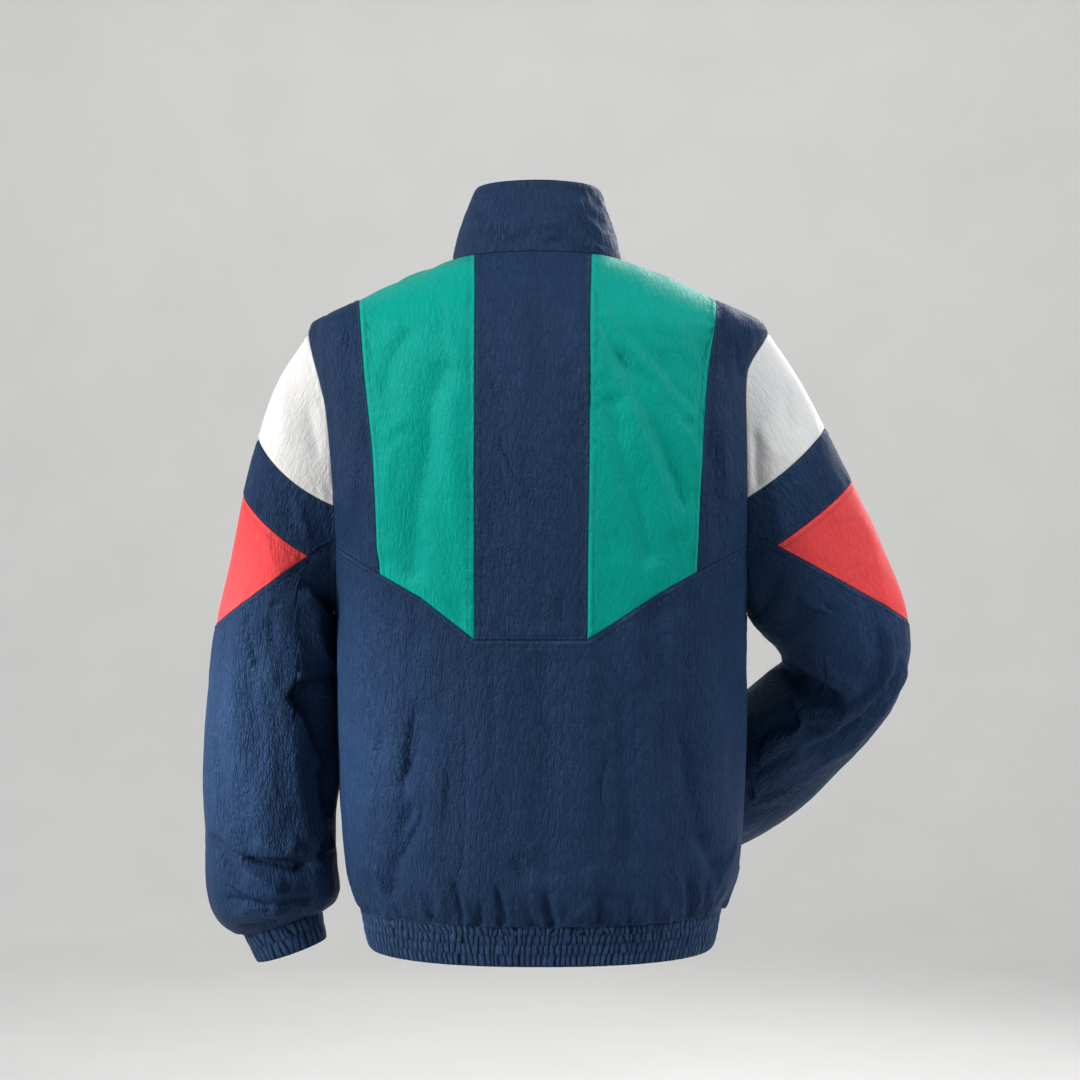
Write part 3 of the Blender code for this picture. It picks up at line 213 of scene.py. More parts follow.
# Rings of the sleeves by distance along the outer line: the points of the outer and inner lines as seen
# from behind, the middle's y, and half the depth across them.
SLEEVE_COLUMNS = "along outer_x outer_z inner_x inner_z middle_y half_depth"
SLEEVES = {
    LEFT: Table(
        SLEEVE_COLUMNS,
        [
            (0, 0.231, -0.072, 0.202, -0.345, 0, 0.062), (0.052, 0.26, -0.118, 0.209, -0.352, 0, 0.065),
            (0.115, 0.2795, -0.179, 0.21, -0.36, -0.002, 0.067),
            (0.172, 0.295, -0.234, 0.21, -0.371, -0.005, 0.0675),
            (0.238, 0.3095, -0.3, 0.2085, -0.388, -0.008, 0.0665),
            (0.302, 0.324, -0.362, 0.2075, -0.412, -0.01, 0.065),
            (0.372, 0.3325, -0.432, 0.2065, -0.455, -0.012, 0.063),
            (0.45, 0.337, -0.51, 0.206, -0.517, -0.014, 0.061),
            (0.514, 0.337, -0.574, 0.206, -0.574, -0.016, 0.059),
            (0.56, 0.3345, -0.62, 0.2035, -0.608, -0.017, 0.0565),
            (0.588, 0.3295, -0.647, 0.202, -0.628, -0.018, 0.053),
            (0.605, 0.319, -0.664, 0.206, -0.64, -0.018, 0.047),
            (0.628, 0.2985, -0.675, 0.221, -0.649, -0.018, 0.035),
        ],
    ),
    RIGHT: Table(
        SLEEVE_COLUMNS,
        [
            (0, -0.228, -0.072, -0.204, -0.345, 0, 0.062),
            (0.053, -0.257, -0.116, -0.2095, -0.352, 0, 0.065),
            (0.109, -0.283, -0.166, -0.211, -0.357, -0.003, 0.067),
            (0.167, -0.3105, -0.218, -0.2155, -0.364, -0.007, 0.068),
            (0.235, -0.3405, -0.279, -0.224, -0.373, -0.013, 0.068),
            (0.319, -0.3705, -0.358, -0.239, -0.387, -0.022, 0.067),
            (0.347, -0.373, -0.386, -0.244, -0.393, -0.029, 0.066),
            (0.394, -0.365, -0.431, -0.246, -0.4, -0.042, 0.064),
            (0.443, -0.343, -0.477, -0.243, -0.407, -0.057, 0.062),
            (0.49, -0.311, -0.515, -0.233, -0.418, -0.074, 0.06),
            (0.54, -0.276, -0.556, -0.212, -0.44, -0.099, 0.058),
            (0.59, -0.238, -0.588, -0.176, -0.478, -0.13, 0.056),
            (0.64, -0.2, -0.612, -0.145, -0.516, -0.158, 0.053),
            (0.662, -0.182, -0.624, -0.132, -0.536, -0.171, 0.046),
            (0.684, -0.159, -0.625, -0.123, -0.563, -0.181, 0.035),
        ],
    ),
}
SLEEVE_END = {LEFT: 0.628, RIGHT: 0.684}
SLEEVE_MIDDLE_FADE = 0.110
SEAM_SEARCH = 0.36  # no panel's seam lies farther along a sleeve

# Seams of the sleeve panels as straight cuts seen from behind: where each meets the outer line, and where
# it meets the armhole or the red panel's tip.
SLEEVE_CUTS = {
    LEFT: {
        "cap_outer": (0.2780, -0.1790),
        "cap_armhole": -0.2450,
        "red_top": (0.2940, -0.2340),
        "red_bottom": (0.3230, -0.3620),
        "red_tip": (0.2255, -0.2935),
        "lower_armhole": -0.2760,
        "cap_sag": 0.0080,
        "red_sag": 0.0040,
    },
    RIGHT: {
        "cap_outer": (-0.2830, -0.1660),
        "cap_armhole": -0.2370,
        "red_top": (-0.3105, -0.2190),
        "red_bottom": (-0.3690, -0.3590),
        "red_tip": (-0.2300, -0.2830),
        "lower_armhole": -0.2690,
        "cap_sag": 0.0045,
        "red_sag": 0.0020,
    },
}

# The sleeves' largest folds: where they lie along the sleeve and round it from the outer line (positive
# behind), the half lengths along and across it, how far they slant, and how far they sink.
SLEEVE_FOLDS = {
    LEFT: [
        (0.525, 60, 0.03, 0.06, 0.15, 0.0045), (0.38, 110, 0.11, 0.028, -0.2, 0.0055),
        (0.52, -70, 0.03, 0.055, -0.15, 0.004),
    ],
    RIGHT: [
        (0.43, 75, 0.032, 0.065, -0.35, 0.0065), (0.42, 145, 0.03, 0.05, 0.1, 0.0065),
        (0.435, -80, 0.032, 0.065, 0.2, 0.006),
    ],
}

# ---- the torso's surface


def torso_depth(height, face):
    return TORSO("back_depth" if face == BACK else "front_depth", height)


def armhole_half_depth(height):
    """How far the armhole stands behind and in front of the shoulder line at a height."""
    share = (height - ARMHOLE_MIDDLE_Z) / ARMHOLE_REACH_Z
    return ARMHOLE_HALF_DEPTH * np.sqrt(np.clip(1 - share**2, 0, 1))


def armhole_reach(height, side):
    return np.where(side > 0, ARMHOLE("left_reach", height), ARMHOLE("right_reach", height))


def torso_half_width(height, face, side):
    """Half the ring's width. Beside an armhole it is the width that takes the ring through the armhole."""
    height = np.asarray(height, float)
    power = TORSO("squareness", height)
    share = armhole_half_depth(height) / torso_depth(height, face)
    through_armhole = armhole_reach(height, side) / (1 - share**power) ** (1 / power)
    width = np.where(height > SHOULDER_Z, SHOULDER_LINE("half_width", height), through_armhole)
    return np.where(height < UNDERARM_Z, TRUNK("half_width", height), width)


def torso_point(lean, height, face):
    """lean is 0 at the middle of the back or front and a right angle, signed by side, at the seam."""
    power = TORSO("squareness", height)
    across = np.sign(lean) * np.abs(np.sin(lean)) ** (2 / power)
    outwards = np.clip(np.cos(lean), 0, 1) ** (2 / power)
    x = TORSO("centre_x", height) + torso_half_width(height, face, lean) * across
    y = face * torso_depth(height, face) * outwards
    return np.stack([x, y, np.broadcast_to(height, x.shape)], axis=-1)


def torso_normal(lean, height, face):
    """The outward direction, from the slope of the ring's superellipse equation."""
    point = torso_point(lean, height, face)

    def level(x, y, z):
        power = TORSO("squareness", z)
        across = np.abs(x - TORSO("centre_x", z)) / torso_half_width(z, face, lean)
        return across**power + (np.abs(y) / torso_depth(z, face)) ** power

    x, y, z = point[..., 0], point[..., 1], point[..., 2]
    step = 2e-5
    slope = np.stack(
        [
            level(x + step, y, z) - level(x - step, y, z),
            level(x, y + step, z) - level(x, y - step, z),
            2 * (level(x, y, z) - level(x, y, z - step)),
        ],
        axis=-1,
    )
    return unit(slope)


def lean_at(x, height, face):
    offset = x - TORSO("centre_x", height)
    share = np.clip(np.abs(offset) / torso_half_width(height, face, offset), 0, 1)
    return np.sign(offset) * np.arcsin(share ** (TORSO("squareness", height) / 2))


def torso_across(lean):
    """The distance round the torso from the middle of the back or front, at a middling height."""
    leans = np.linspace(0, RIGHT_ANGLE, 200)
    ring = torso_point(leans, np.full(200, TRUNK_MIDDLE_Z), BACK)
    return np.sign(lean) * np.interp(np.abs(lean), leans, length_of(ring))


# ---- seams on the torso

# A seam is an array of (lean, height) rows, much closer together than the grids that are read from it.
FINE = 400


def along_seam(seam, face):
    return length_of(torso_point(seam[:, 0], seam[:, 1], face))


def at_shares(seam, face, shares):
    """The seam's rows at shares of its length."""
    travelled = along_seam(seam, face)
    return read_at(shares * travelled[-1], travelled, seam)


def joined(*seams):
    """Seams end to end as one, with each shared row kept once."""
    return np.concatenate([seams[0]] + [seam[1:] for seam in seams[1:]])


def chain(seams, face, shares):
    """Seams end to end, read at shares of the whole length that are shifted to take in each corner."""
    lengths = [along_seam(seam, face)[-1] for seam in seams]
    corners = np.cumsum(lengths)[:-1] / sum(lengths)
    read, wanted, last = [0.0], [0.0], 0
    for corner in corners:
        k = int(np.argmin(np.abs(shares - corner)))
        k = min(max(k, last + 1), len(shares) - 2)
        read.append(shares[k])
        wanted.append(corner)
        last = k
    warped = np.interp(shares, read + [1.0], wanted + [1.0])
    return at_shares(joined(*seams), face, warped)


def shoulder_height_of(column):
    """Where a green panel's outer edge meets the shoulder seam."""

    def outside(height):
        reach = abs(GREEN_EDGES(column, height) - TORSO("centre_x", height))
        return reach >= SHOULDER_LINE("half_width", height)

    low, high = halve(SHOULDER_Z, 0.0, outside, 60)
    return float(low + high) / 2


def edge_down(column, top, bottom):
    """A green panel's long edge, from its height at the top to its height at the bottom."""
    heights = top + (bottom - top) * np.linspace(0, 1, FINE) ** 2
    leans = lean_at(GREEN_EDGES(column, heights), heights, BACK)
    if "outer" in column:
        leans[0] = math.copysign(RIGHT_ANGLE, leans[1])
    return np.stack([leans, heights], axis=-1)


def straight_seam(start, end, face):
    """A seam that looks straight from behind, between two (x, height) points."""
    share = np.linspace(0, 1, FINE)
    x = start[0] + (end[0] - start[0]) * share
    heights = start[1] + (end[1] - start[1]) * share
    return np.stack([lean_at(x, heights, face), heights], axis=-1)


def ring_seam(start, end, height):
    """Part of a level ring, between two leans."""
    return np.stack([np.linspace(start, end, FINE), np.full(FINE, height)], axis=-1)


def side_line(side, top, bottom):
    """The line down the side of the body, or the shoulder seam."""
    return np.stack([np.full(FINE, side * RIGHT_ANGLE), np.linspace(top, bottom, FINE)], axis=-1)


def armhole_height(angle):
    return ARMHOLE_MIDDLE_Z + ARMHOLE_REACH_Z * np.cos(angle)


def armhole_angle(height):
    """The angle round the armhole, from the shoulder point, at a height."""
    return math.acos((height - ARMHOLE_MIDDLE_Z) / ARMHOLE_REACH_Z)


def armhole_point(side, angle):
    """The armhole seam's point, at an angle that is positive behind the shoulder line."""
    height = armhole_height(angle)
    x = TORSO("centre_x", height) + side * armhole_reach(height, side)
    return np.stack([x, ARMHOLE_HALF_DEPTH * np.sin(angle), height], axis=-1)


def armhole_seam(side, start, end, face):
    """The armhole seam between two angles, as rows on the torso."""
    angles = np.linspace(start, end, FINE)
    points = armhole_point(side, angles)
    leans = lean_at(points[:, 0], points[:, 2], face)
    at_side = np.isclose(np.sin(angles), 0, atol=TINY)
    leans = np.where(at_side, side * RIGHT_ANGLE, leans)
    return np.stack([leans, points[:, 2]], axis=-1)


def neck_front_seam(side):
    """The neckline of one front, from the centre front to the shoulder seam."""
    share = np.linspace(0, 1, FINE)
    heights = -NECK_FRONT_DROP * np.cos(share * RIGHT_ANGLE) ** 1.4
    reach = SHOULDER_LINE("half_width", 0.0)
    x = TORSO("centre_x", heights) + side * (FRONT_EDGE + (reach - FRONT_EDGE) * np.sin(share * RIGHT_ANGLE))
    leans = lean_at(x, heights, FRONT)
    leans[-1] = side * RIGHT_ANGLE
    return np.stack([leans, heights], axis=-1)


def front_edge_seam(side):
    """The edge of a front beside the zip, from the neck to the hem seam."""
    heights = np.linspace(-NECK_FRONT_DROP, HEM_SEAM_Z, FINE)
    x = TORSO("centre_x", heights) + side * FRONT_EDGE
    return np.stack([lean_at(x, heights, FRONT), heights], axis=-1)


def blend_patch(top, bottom, left, right, u, v):
    between_top_and_bottom = (1 - v) * top[None] + v * bottom[None]
    between_sides = (1 - u) * left[:, None] + u * right[:, None]
    corners = (1 - v) * ((1 - u) * top[0] + u * top[-1]) + v * ((1 - u) * bottom[0] + u * bottom[-1])
    return between_top_and_bottom + between_sides - corners


# ---- the sleeves' surfaces


def sleeve_frame(side, along):
    """The middle of a sleeve ring, its vector to the outer line, and its vector to the back."""
    table = SLEEVES[side]

    def middle_at(distance):
        x = (table("outer_x", distance) + table("inner_x", distance)) / 2
        z = (table("outer_z", distance) + table("inner_z", distance)) / 2
        return np.stack([x, table("middle_y", distance), z], axis=-1)

    x, z = ((table("outer_" + axis, along) - table("inner_" + axis, along)) / 2 for axis in "xz")
    outer = np.stack([x, np.zeros_like(along), z], axis=-1)
    step = 0.030  # a long step, so that the rings tilt slowly from one to the next
    end = SLEEVE_END[side]
    heading = middle_at(np.minimum(along + step, end)) - middle_at(np.maximum(along - step, 0))
    back = unit(-side * np.cross(heading, outer))
    return middle_at(along), outer, back * table("half_depth", along)[..., None]


def ring_point(side, angle, along):
    middle, outer, back = sleeve_frame(side, along)
    return middle + outer * np.cos(angle)[..., None] + back * np.sin(angle)[..., None]


def plain_sleeve_point(side, angle, along):
    """A point of the sleeve without folds. The angle is 0 on the outer line and positive behind."""
    angle, along = np.broadcast_arrays(np.asarray(angle, float), np.asarray(along, float))
    shift = armhole_point(side, angle) - ring_point(side, angle, np.zeros_like(along))
    fade = np.clip(1 - along / SLEEVE_MIDDLE_FADE, 0, 1) ** 2
    return ring_point(side, angle, along) + shift * fade[..., None]


def plain_sleeve_normal(side, angle, along):
    angle, along = np.broadcast_arrays(np.asarray(angle, float), np.asarray(along, float))
    turn, step = 0.02, 0.002
    before, after = np.maximum(along - step, 0), np.minimum(along + step, SLEEVE_END[side])
    down = plain_sleeve_point(side, angle, after) - plain_sleeve_point(side, angle, before)
    around = plain_sleeve_point(side, angle + turn, along) - plain_sleeve_point(side, angle - turn, along)
    return unit(side * np.cross(down, around))


def sleeve_sink(side, angle, along):
    """How far the largest folds sink the cloth at a point."""
    sink = np.zeros(np.broadcast(angle, along).shape)
    for centre, around, half_length, half_width, slant, depth in SLEEVE_FOLDS[side]:
        turned = (angle - math.radians(around) + math.pi) % (2 * math.pi) - math.pi
        across, down = turned * SLEEVE_RADIUS, along - centre
        long, wide = down - slant * across, across + slant * down
        sink = sink + depth * np.exp(-((long / half_length) ** 2) - (wide / half_width) ** 2)
    room = np.clip(along / 0.08, 0, 1) * np.clip((SLEEVE_END[side] - along) / 0.04, 0, 1)
    return sink * room


def sleeve_point(side, angle, along):
    normal = plain_sleeve_normal(side, angle, along)
    return plain_sleeve_point(side, angle, along) - normal * sleeve_sink(side, angle, along)[..., None]


def cuff_point(side, angle, share):
    """The cuff carries on from the sleeve's last ring, tapering to its open end."""
    end = np.full(np.broadcast(angle, share).shape, SLEEVE_END[side])
    middle, outer, back = sleeve_frame(side, end)
    heading = unit(side * np.cross(back, outer))
    scale = 1 + (CUFF_TAPER - 1) * share
    ring = outer * np.cos(angle)[..., None] + back * np.sin(angle)[..., None]
    return middle + ring * scale[..., None] + heading * (CUFF_HEIGHT * share)[..., None]


def cut_distance(side, angle, start, end, sag=0.0):
    """How far along the sleeve, at each angle, the cut from start to end crosses it, as seen from behind."""
    line = (end[0] - start[0], end[1] - start[1])
    length = math.hypot(*line)
    below = -math.copysign(1, line[0])

    def beyond(along):
        point = plain_sleeve_point(side, angle, along)
        x, z = point[..., 0] - start[0], point[..., 2] - start[1]
        share = np.clip((x * line[0] + z * line[1]) / length**2, 0, 1)
        offset = (line[0] * z - line[1] * x) / length
        return offset - below * sag * 4 * share * (1 - share)

    low, high = np.zeros_like(angle), np.full_like(angle, SEAM_SEARCH)
    sign = np.sign(beyond(high))
    never = sign * beyond(low) >= 0
    low, high = halve(low, high, lambda along: sign * beyond(along) > 0)
    return np.where(never, 0.0, (low + high) / 2)


def tip_angle_of(side, tip):
    """The angle and the distance along at which the sleeve's back shows the red panel's tip."""
    angle = np.linspace(0.5, 2.4, 1500)

    def below(along):
        return plain_sleeve_point(side, angle, along)[:, 2] <= tip[1]

    low, _ = halve(np.zeros_like(angle), np.full_like(angle, SEAM_SEARCH), below)
    best = int(np.argmin(np.abs(plain_sleeve_point(side, angle, low)[:, 0] - tip[0])))
    return angle[best], low[best]


class SleeveSeams:
    """The panel seams of a sleeve, as distances along it at angles from the outer line."""

    def __init__(self, side):
        self.cuts = SLEEVE_CUTS[side]
        self.side = side
        self.cap_end = armhole_angle(self.cuts["cap_armhole"])
        self.band_end = armhole_angle(self.cuts["lower_armhole"])
        self.yoke_angle = armhole_angle(YOKE_AT_ARMHOLE[side])
        self.tip_angle, self.tip_along = tip_angle_of(side, self.cuts["red_tip"])

    def cap_bottom(self, angle):
        cuts = self.cuts
        corner = armhole_point(self.side, np.float64(self.cap_end))
        cut = cut_distance(self.side, angle, cuts["cap_outer"], (corner[0], corner[2]), cuts["cap_sag"])
        return np.where(angle >= self.cap_end - 1e-9, 0.0, cut)

    def red_top(self, angle):
        cuts = self.cuts
        cut = cut_distance(self.side, angle, cuts["red_top"], cuts["red_tip"], cuts["red_sag"])
        return np.where(angle >= self.tip_angle - 1e-9, self.tip_along, cut)

    def lower_top(self, angle):
        """The seam at the top of the lower sleeve: under the red panel, then up to the armhole."""
        cut = cut_distance(self.side, angle, self.cuts["red_tip"], self.cuts["red_bottom"])
        rising = self.tip_along * (self.band_end - angle) / (self.band_end - self.tip_angle)
        top = np.where(angle < self.tip_angle - 1e-9, cut, rising)
        return np.where(angle >= self.band_end - 1e-9, 0.0, top)

    def band_bottom(self, angle):
        return np.where(angle < self.tip_angle, self.red_top(angle), self.lower_top(angle))

    def end(self, angle):
        return np.full_like(angle, SLEEVE_END[self.side])


def collar_top_point(turn):
    """The collar's top edge at turns from the centre back, positive towards the wearer's left."""
    ahead = np.maximum(0.0, -np.cos(turn))
    x = COLLAR_TOP_HALF_WIDTH * np.sin(turn)
    x = np.where(ahead > 0, np.copysign(np.maximum(np.abs(x), FRONT_EDGE), turn), x)
    height = COLLAR_BACK_TOP + (COLLAR_FRONT_TOP - COLLAR_BACK_TOP) * ahead**1.5
    return np.stack([x + TORSO("centre_x", 0.0), COLLAR_TOP_HALF_DEPTH * np.cos(turn), height], axis=-1)


def grid_normals(points, outwards):
    """Normals of a grid by its neighbours, on the side that outwards points to."""
    normals = unit(np.cross(np.gradient(points, axis=0), np.gradient(points, axis=1)), 1e-12)
    facing = np.sign(np.sum(normals * outwards, axis=-1, keepdims=True))
    return normals * np.where(facing == 0, 1, facing)


def close_ring(normals):
    """Gives the two ends of a closed ring's grid the same normals."""
    normals[:, 0] = normals[:, -1] = unit(normals[:, 0] + normals[:, -1])


# ---- noise


def scatter(cells, seed):
    """Even numbers from -1 to 1, one for each whole-number cell."""
    n = cells[0] * 73856093 ^ cells[1] * 19349663 ^ cells[2] * 83492791 ^ (seed * 2654435761)
    n = n & 0xFFFFFFFF
    n = ((n ^ (n >> 15)) * 2246822519) & 0xFFFFFFFF
    n = ((n ^ (n >> 13)) * 3266489917) & 0xFFFFFFFF
    n = n ^ (n >> 16)
    return (n & 0xFFFFFF) / 8388607.5 - 1


def noise(x, y, z, seed):
    """Smooth noise from -1 to 1 that changes over a distance of 1."""
    x, y, z = np.broadcast_arrays(x, y, z)
    cells = [np.floor(c).astype(np.int64) for c in (x, y, z)]
    shares = [c - cell for c, cell in zip((x, y, z), cells)]
    shares = [s * s * s * (s * (s * 6 - 15) + 10) for s in shares]
    total = np.zeros(x.shape)
    for i in (0, 1):
        for j in (0, 1):
            for k in (0, 1):
                weight = 1.0
                for step, share in zip((i, j, k), shares):
                    weight = weight * (share if step else 1 - share)
                total += weight * scatter((cells[0] + i, cells[1] + j, cells[2] + k), seed)
    return total


def noise_at(points, seed):
    return noise(*np.moveaxis(points, -1, 0), seed)


def rounded_ridges(value):
    """Turns noise into narrow furrows between rounded ridges, from -1 to 1."""
    return 1 - 2 * np.exp(-np.abs(value) * 3.2)


def smooth_step(low, high, value):
    t = np.clip((value - low) / (high - low), 0, 1)
    return t * t * (3 - 2 * t)


# ---- creases

# Each crease, in millimetres: how far it stands proud (negative for a trough), its half width, and the
# points that it runs through, as x and the depth below the neck.
BODY_BACK = [
    # the left green panel
    (1.3, 3, 78, 21, 87, 55, 87, 81, 72, 118), (-1.2, 4.5, 94, 40, 95, 60, 93, 92),
    (-2.6, 6, 118, 70, 134, 92, 143, 110, 150, 149), (1.5, 6, 128, 62, 140, 80, 152, 102),
    (-3.2, 11, 86, 104, 101, 149, 106, 196, 116, 243, 120, 322),
    (2.2, 9, 128, 150, 134, 172, 144, 212, 150, 275, 150, 300), (1.2, 3.5, 126, 160, 140, 172, 154, 184),
    (-1, 3.5, 122, 170, 138, 184, 150, 196), (1.8, 12, 84, 130, 79, 222, 75, 340),
    (-1.1, 6, 160, 54, 130, 60, 94, 57), (-1.1, 3, 158, 67, 156, 74, 152, 86), (-0.9, 3, 147, 70, 143, 82),
    # the middle
    (-1.5, 3.5, 48, 124, 43, 138, 37, 160), (-1.2, 4, 22, 90, 21, 110, 22, 134),
    (-1.9, 6, -30, 100, -31, 140, -36, 200), (-1.3, 2.4, 42, 168, 34, 192, 25, 219, 9, 240, -8, 264),
    (1, 3, 38, 190, 30, 218, 16, 238), (-1.2, 4, 47, 238, 45, 262, 45, 290),
    (-1.5, 3.2, -18, 325, -19, 345, -22, 366), (1.3, 3.5, 36, 316, 40, 340, 45, 364),
    (1.2, 8, 24, 140, 20, 210, 18, 300), (-1.1, 6, -6, 270, -3, 310, 0, 366),
    (-0.9, 3, 12, 262, 16, 300, 13, 330),
    # the right green panel
    (1.7, 3, -56, 50, -75, 93, -113, 125, -152, 170), (-1.4, 4, -56, 66, -71, 101, -108, 134, -146, 177),
    (-1.8, 4, -80, 72, -104, 102, -122, 126), (1.8, 6, -98, 54, -134, 86, -154, 122),
    (-1.4, 3.8, -110, 92, -124, 126, -150, 158),
    (-2.7, 7.5, -73, 92, -87, 125, -103, 162, -119, 200, -140, 254),
    (1.8, 5, -104, 126, -128, 160, -144, 191, -152, 216),
    (-3.2, 8.5, -67, 136, -75, 196, -91, 243, -105, 306),
    (2.2, 7, -76, 140, -104, 202, -118, 240, -130, 280), (1.3, 6, -55, 66, -57, 96, -56, 134),
    (-1, 2.6, -60, 268, -66, 284, -70, 300), (-1, 2.6, -70, 262, -74, 276, -84, 292),
    (0.9, 2.6, -56, 290, -64, 312, -66, 326), (1.2, 6, -140, 232, -142, 260, -144, 300),
    # the strips beside the armholes
    (1.2, 4, 192, 66, 190, 88, 187, 114), (1, 3.5, 176, 190, 178, 225, 184, 262),
    (-1, 4.5, 168, 230, 176, 262, 188, 292), (-1.4, 4, -186, 78, -192, 104, -196, 132),
    (1.2, 5, -172, 150, -176, 200, -178, 250), (-1.2, 5, -164, 180, -166, 230, -170, 280),
    # the lower back
    (-1.8, 8, 145, 318, 140, 340, 134, 368), (-2.2, 7, 120, 330, 116, 352, 113, 388),
    (-2.6, 7, 112, 428, 119, 450, 130, 501, 135, 524), (-4.6, 8, 116, 520, 130, 556, 141, 600, 144, 628),
    (2.6, 10, 148, 476, 157, 513, 169, 567, 173, 606), (2.2, 11, 126, 590, 112, 560, 100, 520, 98, 440),
    (-1.2, 3.2, 71, 392, 70, 420, 69, 473, 72, 560, 74, 604), (-1.5, 4, 39, 438, 47, 497, 36, 522, 33, 566),
    (1.2, 4.5, 36, 396, 33, 430, 30, 464), (1.2, 6, 22, 480, 16, 540, 12, 590),
    (-2.6, 13, -2, 380, -7, 473, -3, 516, -7, 604), (-1.7, 6, -74, 424, -80, 497, -83, 540, -86, 590),
    (-1.1, 2.6, -65, 462, -56, 516, -62, 540, -71, 572), (1.6, 9, -46, 390, -42, 450, -40, 560),
    (1.3, 8, -100, 420, -108, 500, -112, 580),
    (-3, 8, -124, 430, -129, 450, -138, 501, -150, 548, -166, 584),
    (-4.6, 8, -150, 550, -160, 574, -176, 606), (-1.8, 12, -84, 352, -110, 350, -154, 326),
    (2, 12, -164, 390, -169, 430, -176, 500), (-1, 4, -96, 370, -100, 410, -98, 446),
    (-1, 3.5, 92, 380, 90, 420, 94, 470), (-0.9, 3, 10, 384, 8, 420, 12, 450),
    (1.6, 9, 172, 320, 176, 380, 180, 450),
    # the gathers above the waistband
    (2.4, 3.2, 166, 590, 156, 598, 146, 624), (-3, 4.5, 168, 600, 160, 616, 154, 630),
    (2.8, 4.5, 134, 608, 130, 620, 127, 636), (-3.4, 4.5, 106, 606, 104, 618, 102, 636),
    (2.4, 4.5, 92, 602, 92, 618, 90, 636), (-4.4, 4.8, 82, 592, 78, 612, 72, 636),
    (3, 4, 73, 604, 70, 620, 65, 638), (-2.8, 3.6, 58, 612, 56, 624, 54, 638),
    (-4.4, 4.6, 42, 598, 38, 616, 34, 638), (3, 4, 32, 602, 30, 620, 25, 638),
    (-3.2, 6, 24, 568, 20, 584, 15, 604), (2.8, 5, 9, 584, 6, 602, 2, 626),
    (-4.8, 4.6, -2, 606, -6, 620, -10, 638), (2.8, 4, -12, 608, -16, 622, -20, 638),
    (2.6, 3.2, -26, 638, -40, 628, -56, 610), (2.6, 5, -46, 582, -50, 598, -55, 614),
    (-4.2, 4.5, -53, 608, -55, 620, -58, 638), (2, 4, -70, 616, -72, 626, -76, 638),
    (-2.2, 4, -82, 612, -84, 624, -85, 638), (2, 4, -94, 616, -95, 626, -98, 638),
    (-2.2, 4, -106, 610, -107, 624, -108, 638), (2, 4.2, -118, 612, -120, 624, -122, 638),
    (3, 4.6, -131, 598, -134, 612, -136, 634), (-3.8, 5, -138, 592, -142, 610, -145, 634),
    (2.8, 4.4, -150, 596, -152, 612, -152, 632), (-3, 4.4, -160, 598, -160, 614, -158, 632),
    (2.4, 4.4, -170, 600, -168, 616, -166, 634),
]

BODY_FRONT = [
    (-2.4, 9, 60, 120, 72, 190, 70, 280, 62, 340), (2, 10, 96, 110, 104, 180, 108, 260, 104, 330),
    (-2.8, 10, 150, 160, 136, 230, 128, 320, 124, 420), (-2.2, 8, 176, 240, 160, 290, 140, 320),
    (1.8, 8, 170, 320, 164, 400, 160, 480), (-3, 9, 130, 500, 140, 560, 150, 620),
    (-1.6, 6, 34, 380, 38, 460, 36, 560), (1.8, 8, 62, 420, 66, 500, 60, 590),
    (-1.6, 5, 92, 470, 88, 540, 92, 600), (-2, 5, 20, 80, 40, 110, 70, 120),
    (1.6, 5, 30, 62, 60, 84, 100, 84), (-2.2, 8, -58, 130, -66, 200, -70, 290),
    (1.8, 9, -92, 120, -100, 200, -98, 300, -96, 380), (-3, 9, -156, 150, -140, 220, -130, 300, -126, 390),
    (-2, 7, -176, 230, -164, 290, -150, 330), (-3.4, 8, -132, 470, -146, 540, -164, 600),
    (1.8, 8, -160, 380, -166, 450, -172, 520), (-1.8, 6, -36, 360, -34, 450, -40, 570),
    (1.8, 8, -64, 430, -70, 520, -66, 600), (-1.6, 5, -96, 460, -92, 540, -98, 596),
    (-1.8, 5, -18, 84, -44, 112, -76, 116), (1.5, 5, -30, 64, -62, 80, -98, 88),
    (-4, 4.8, 24, 604, 22, 620, 20, 638), (3, 4.4, 36, 600, 38, 618, 40, 638),
    (-3.6, 4.6, 56, 596, 54, 616, 56, 638), (2.6, 4.4, 70, 604, 74, 620, 76, 638),
    (-4.2, 5, 96, 592, 94, 612, 90, 638), (2.8, 4.6, 112, 600, 114, 618, 112, 638),
    (-3.4, 4.6, 132, 596, 134, 614, 130, 636), (2.6, 4.4, 152, 600, 150, 618, 148, 636),
    (-3.8, 4.8, -26, 600, -24, 618, -26, 638), (2.8, 4.4, -42, 604, -44, 620, -46, 638),
    (-3.8, 4.6, -64, 594, -62, 616, -60, 638), (2.6, 4.4, -80, 602, -84, 620, -84, 638),
    (-4, 4.8, -104, 594, -102, 614, -106, 638), (2.8, 4.6, -124, 600, -122, 618, -126, 638),
    (-3.4, 4.6, -146, 594, -142, 614, -146, 636),
]

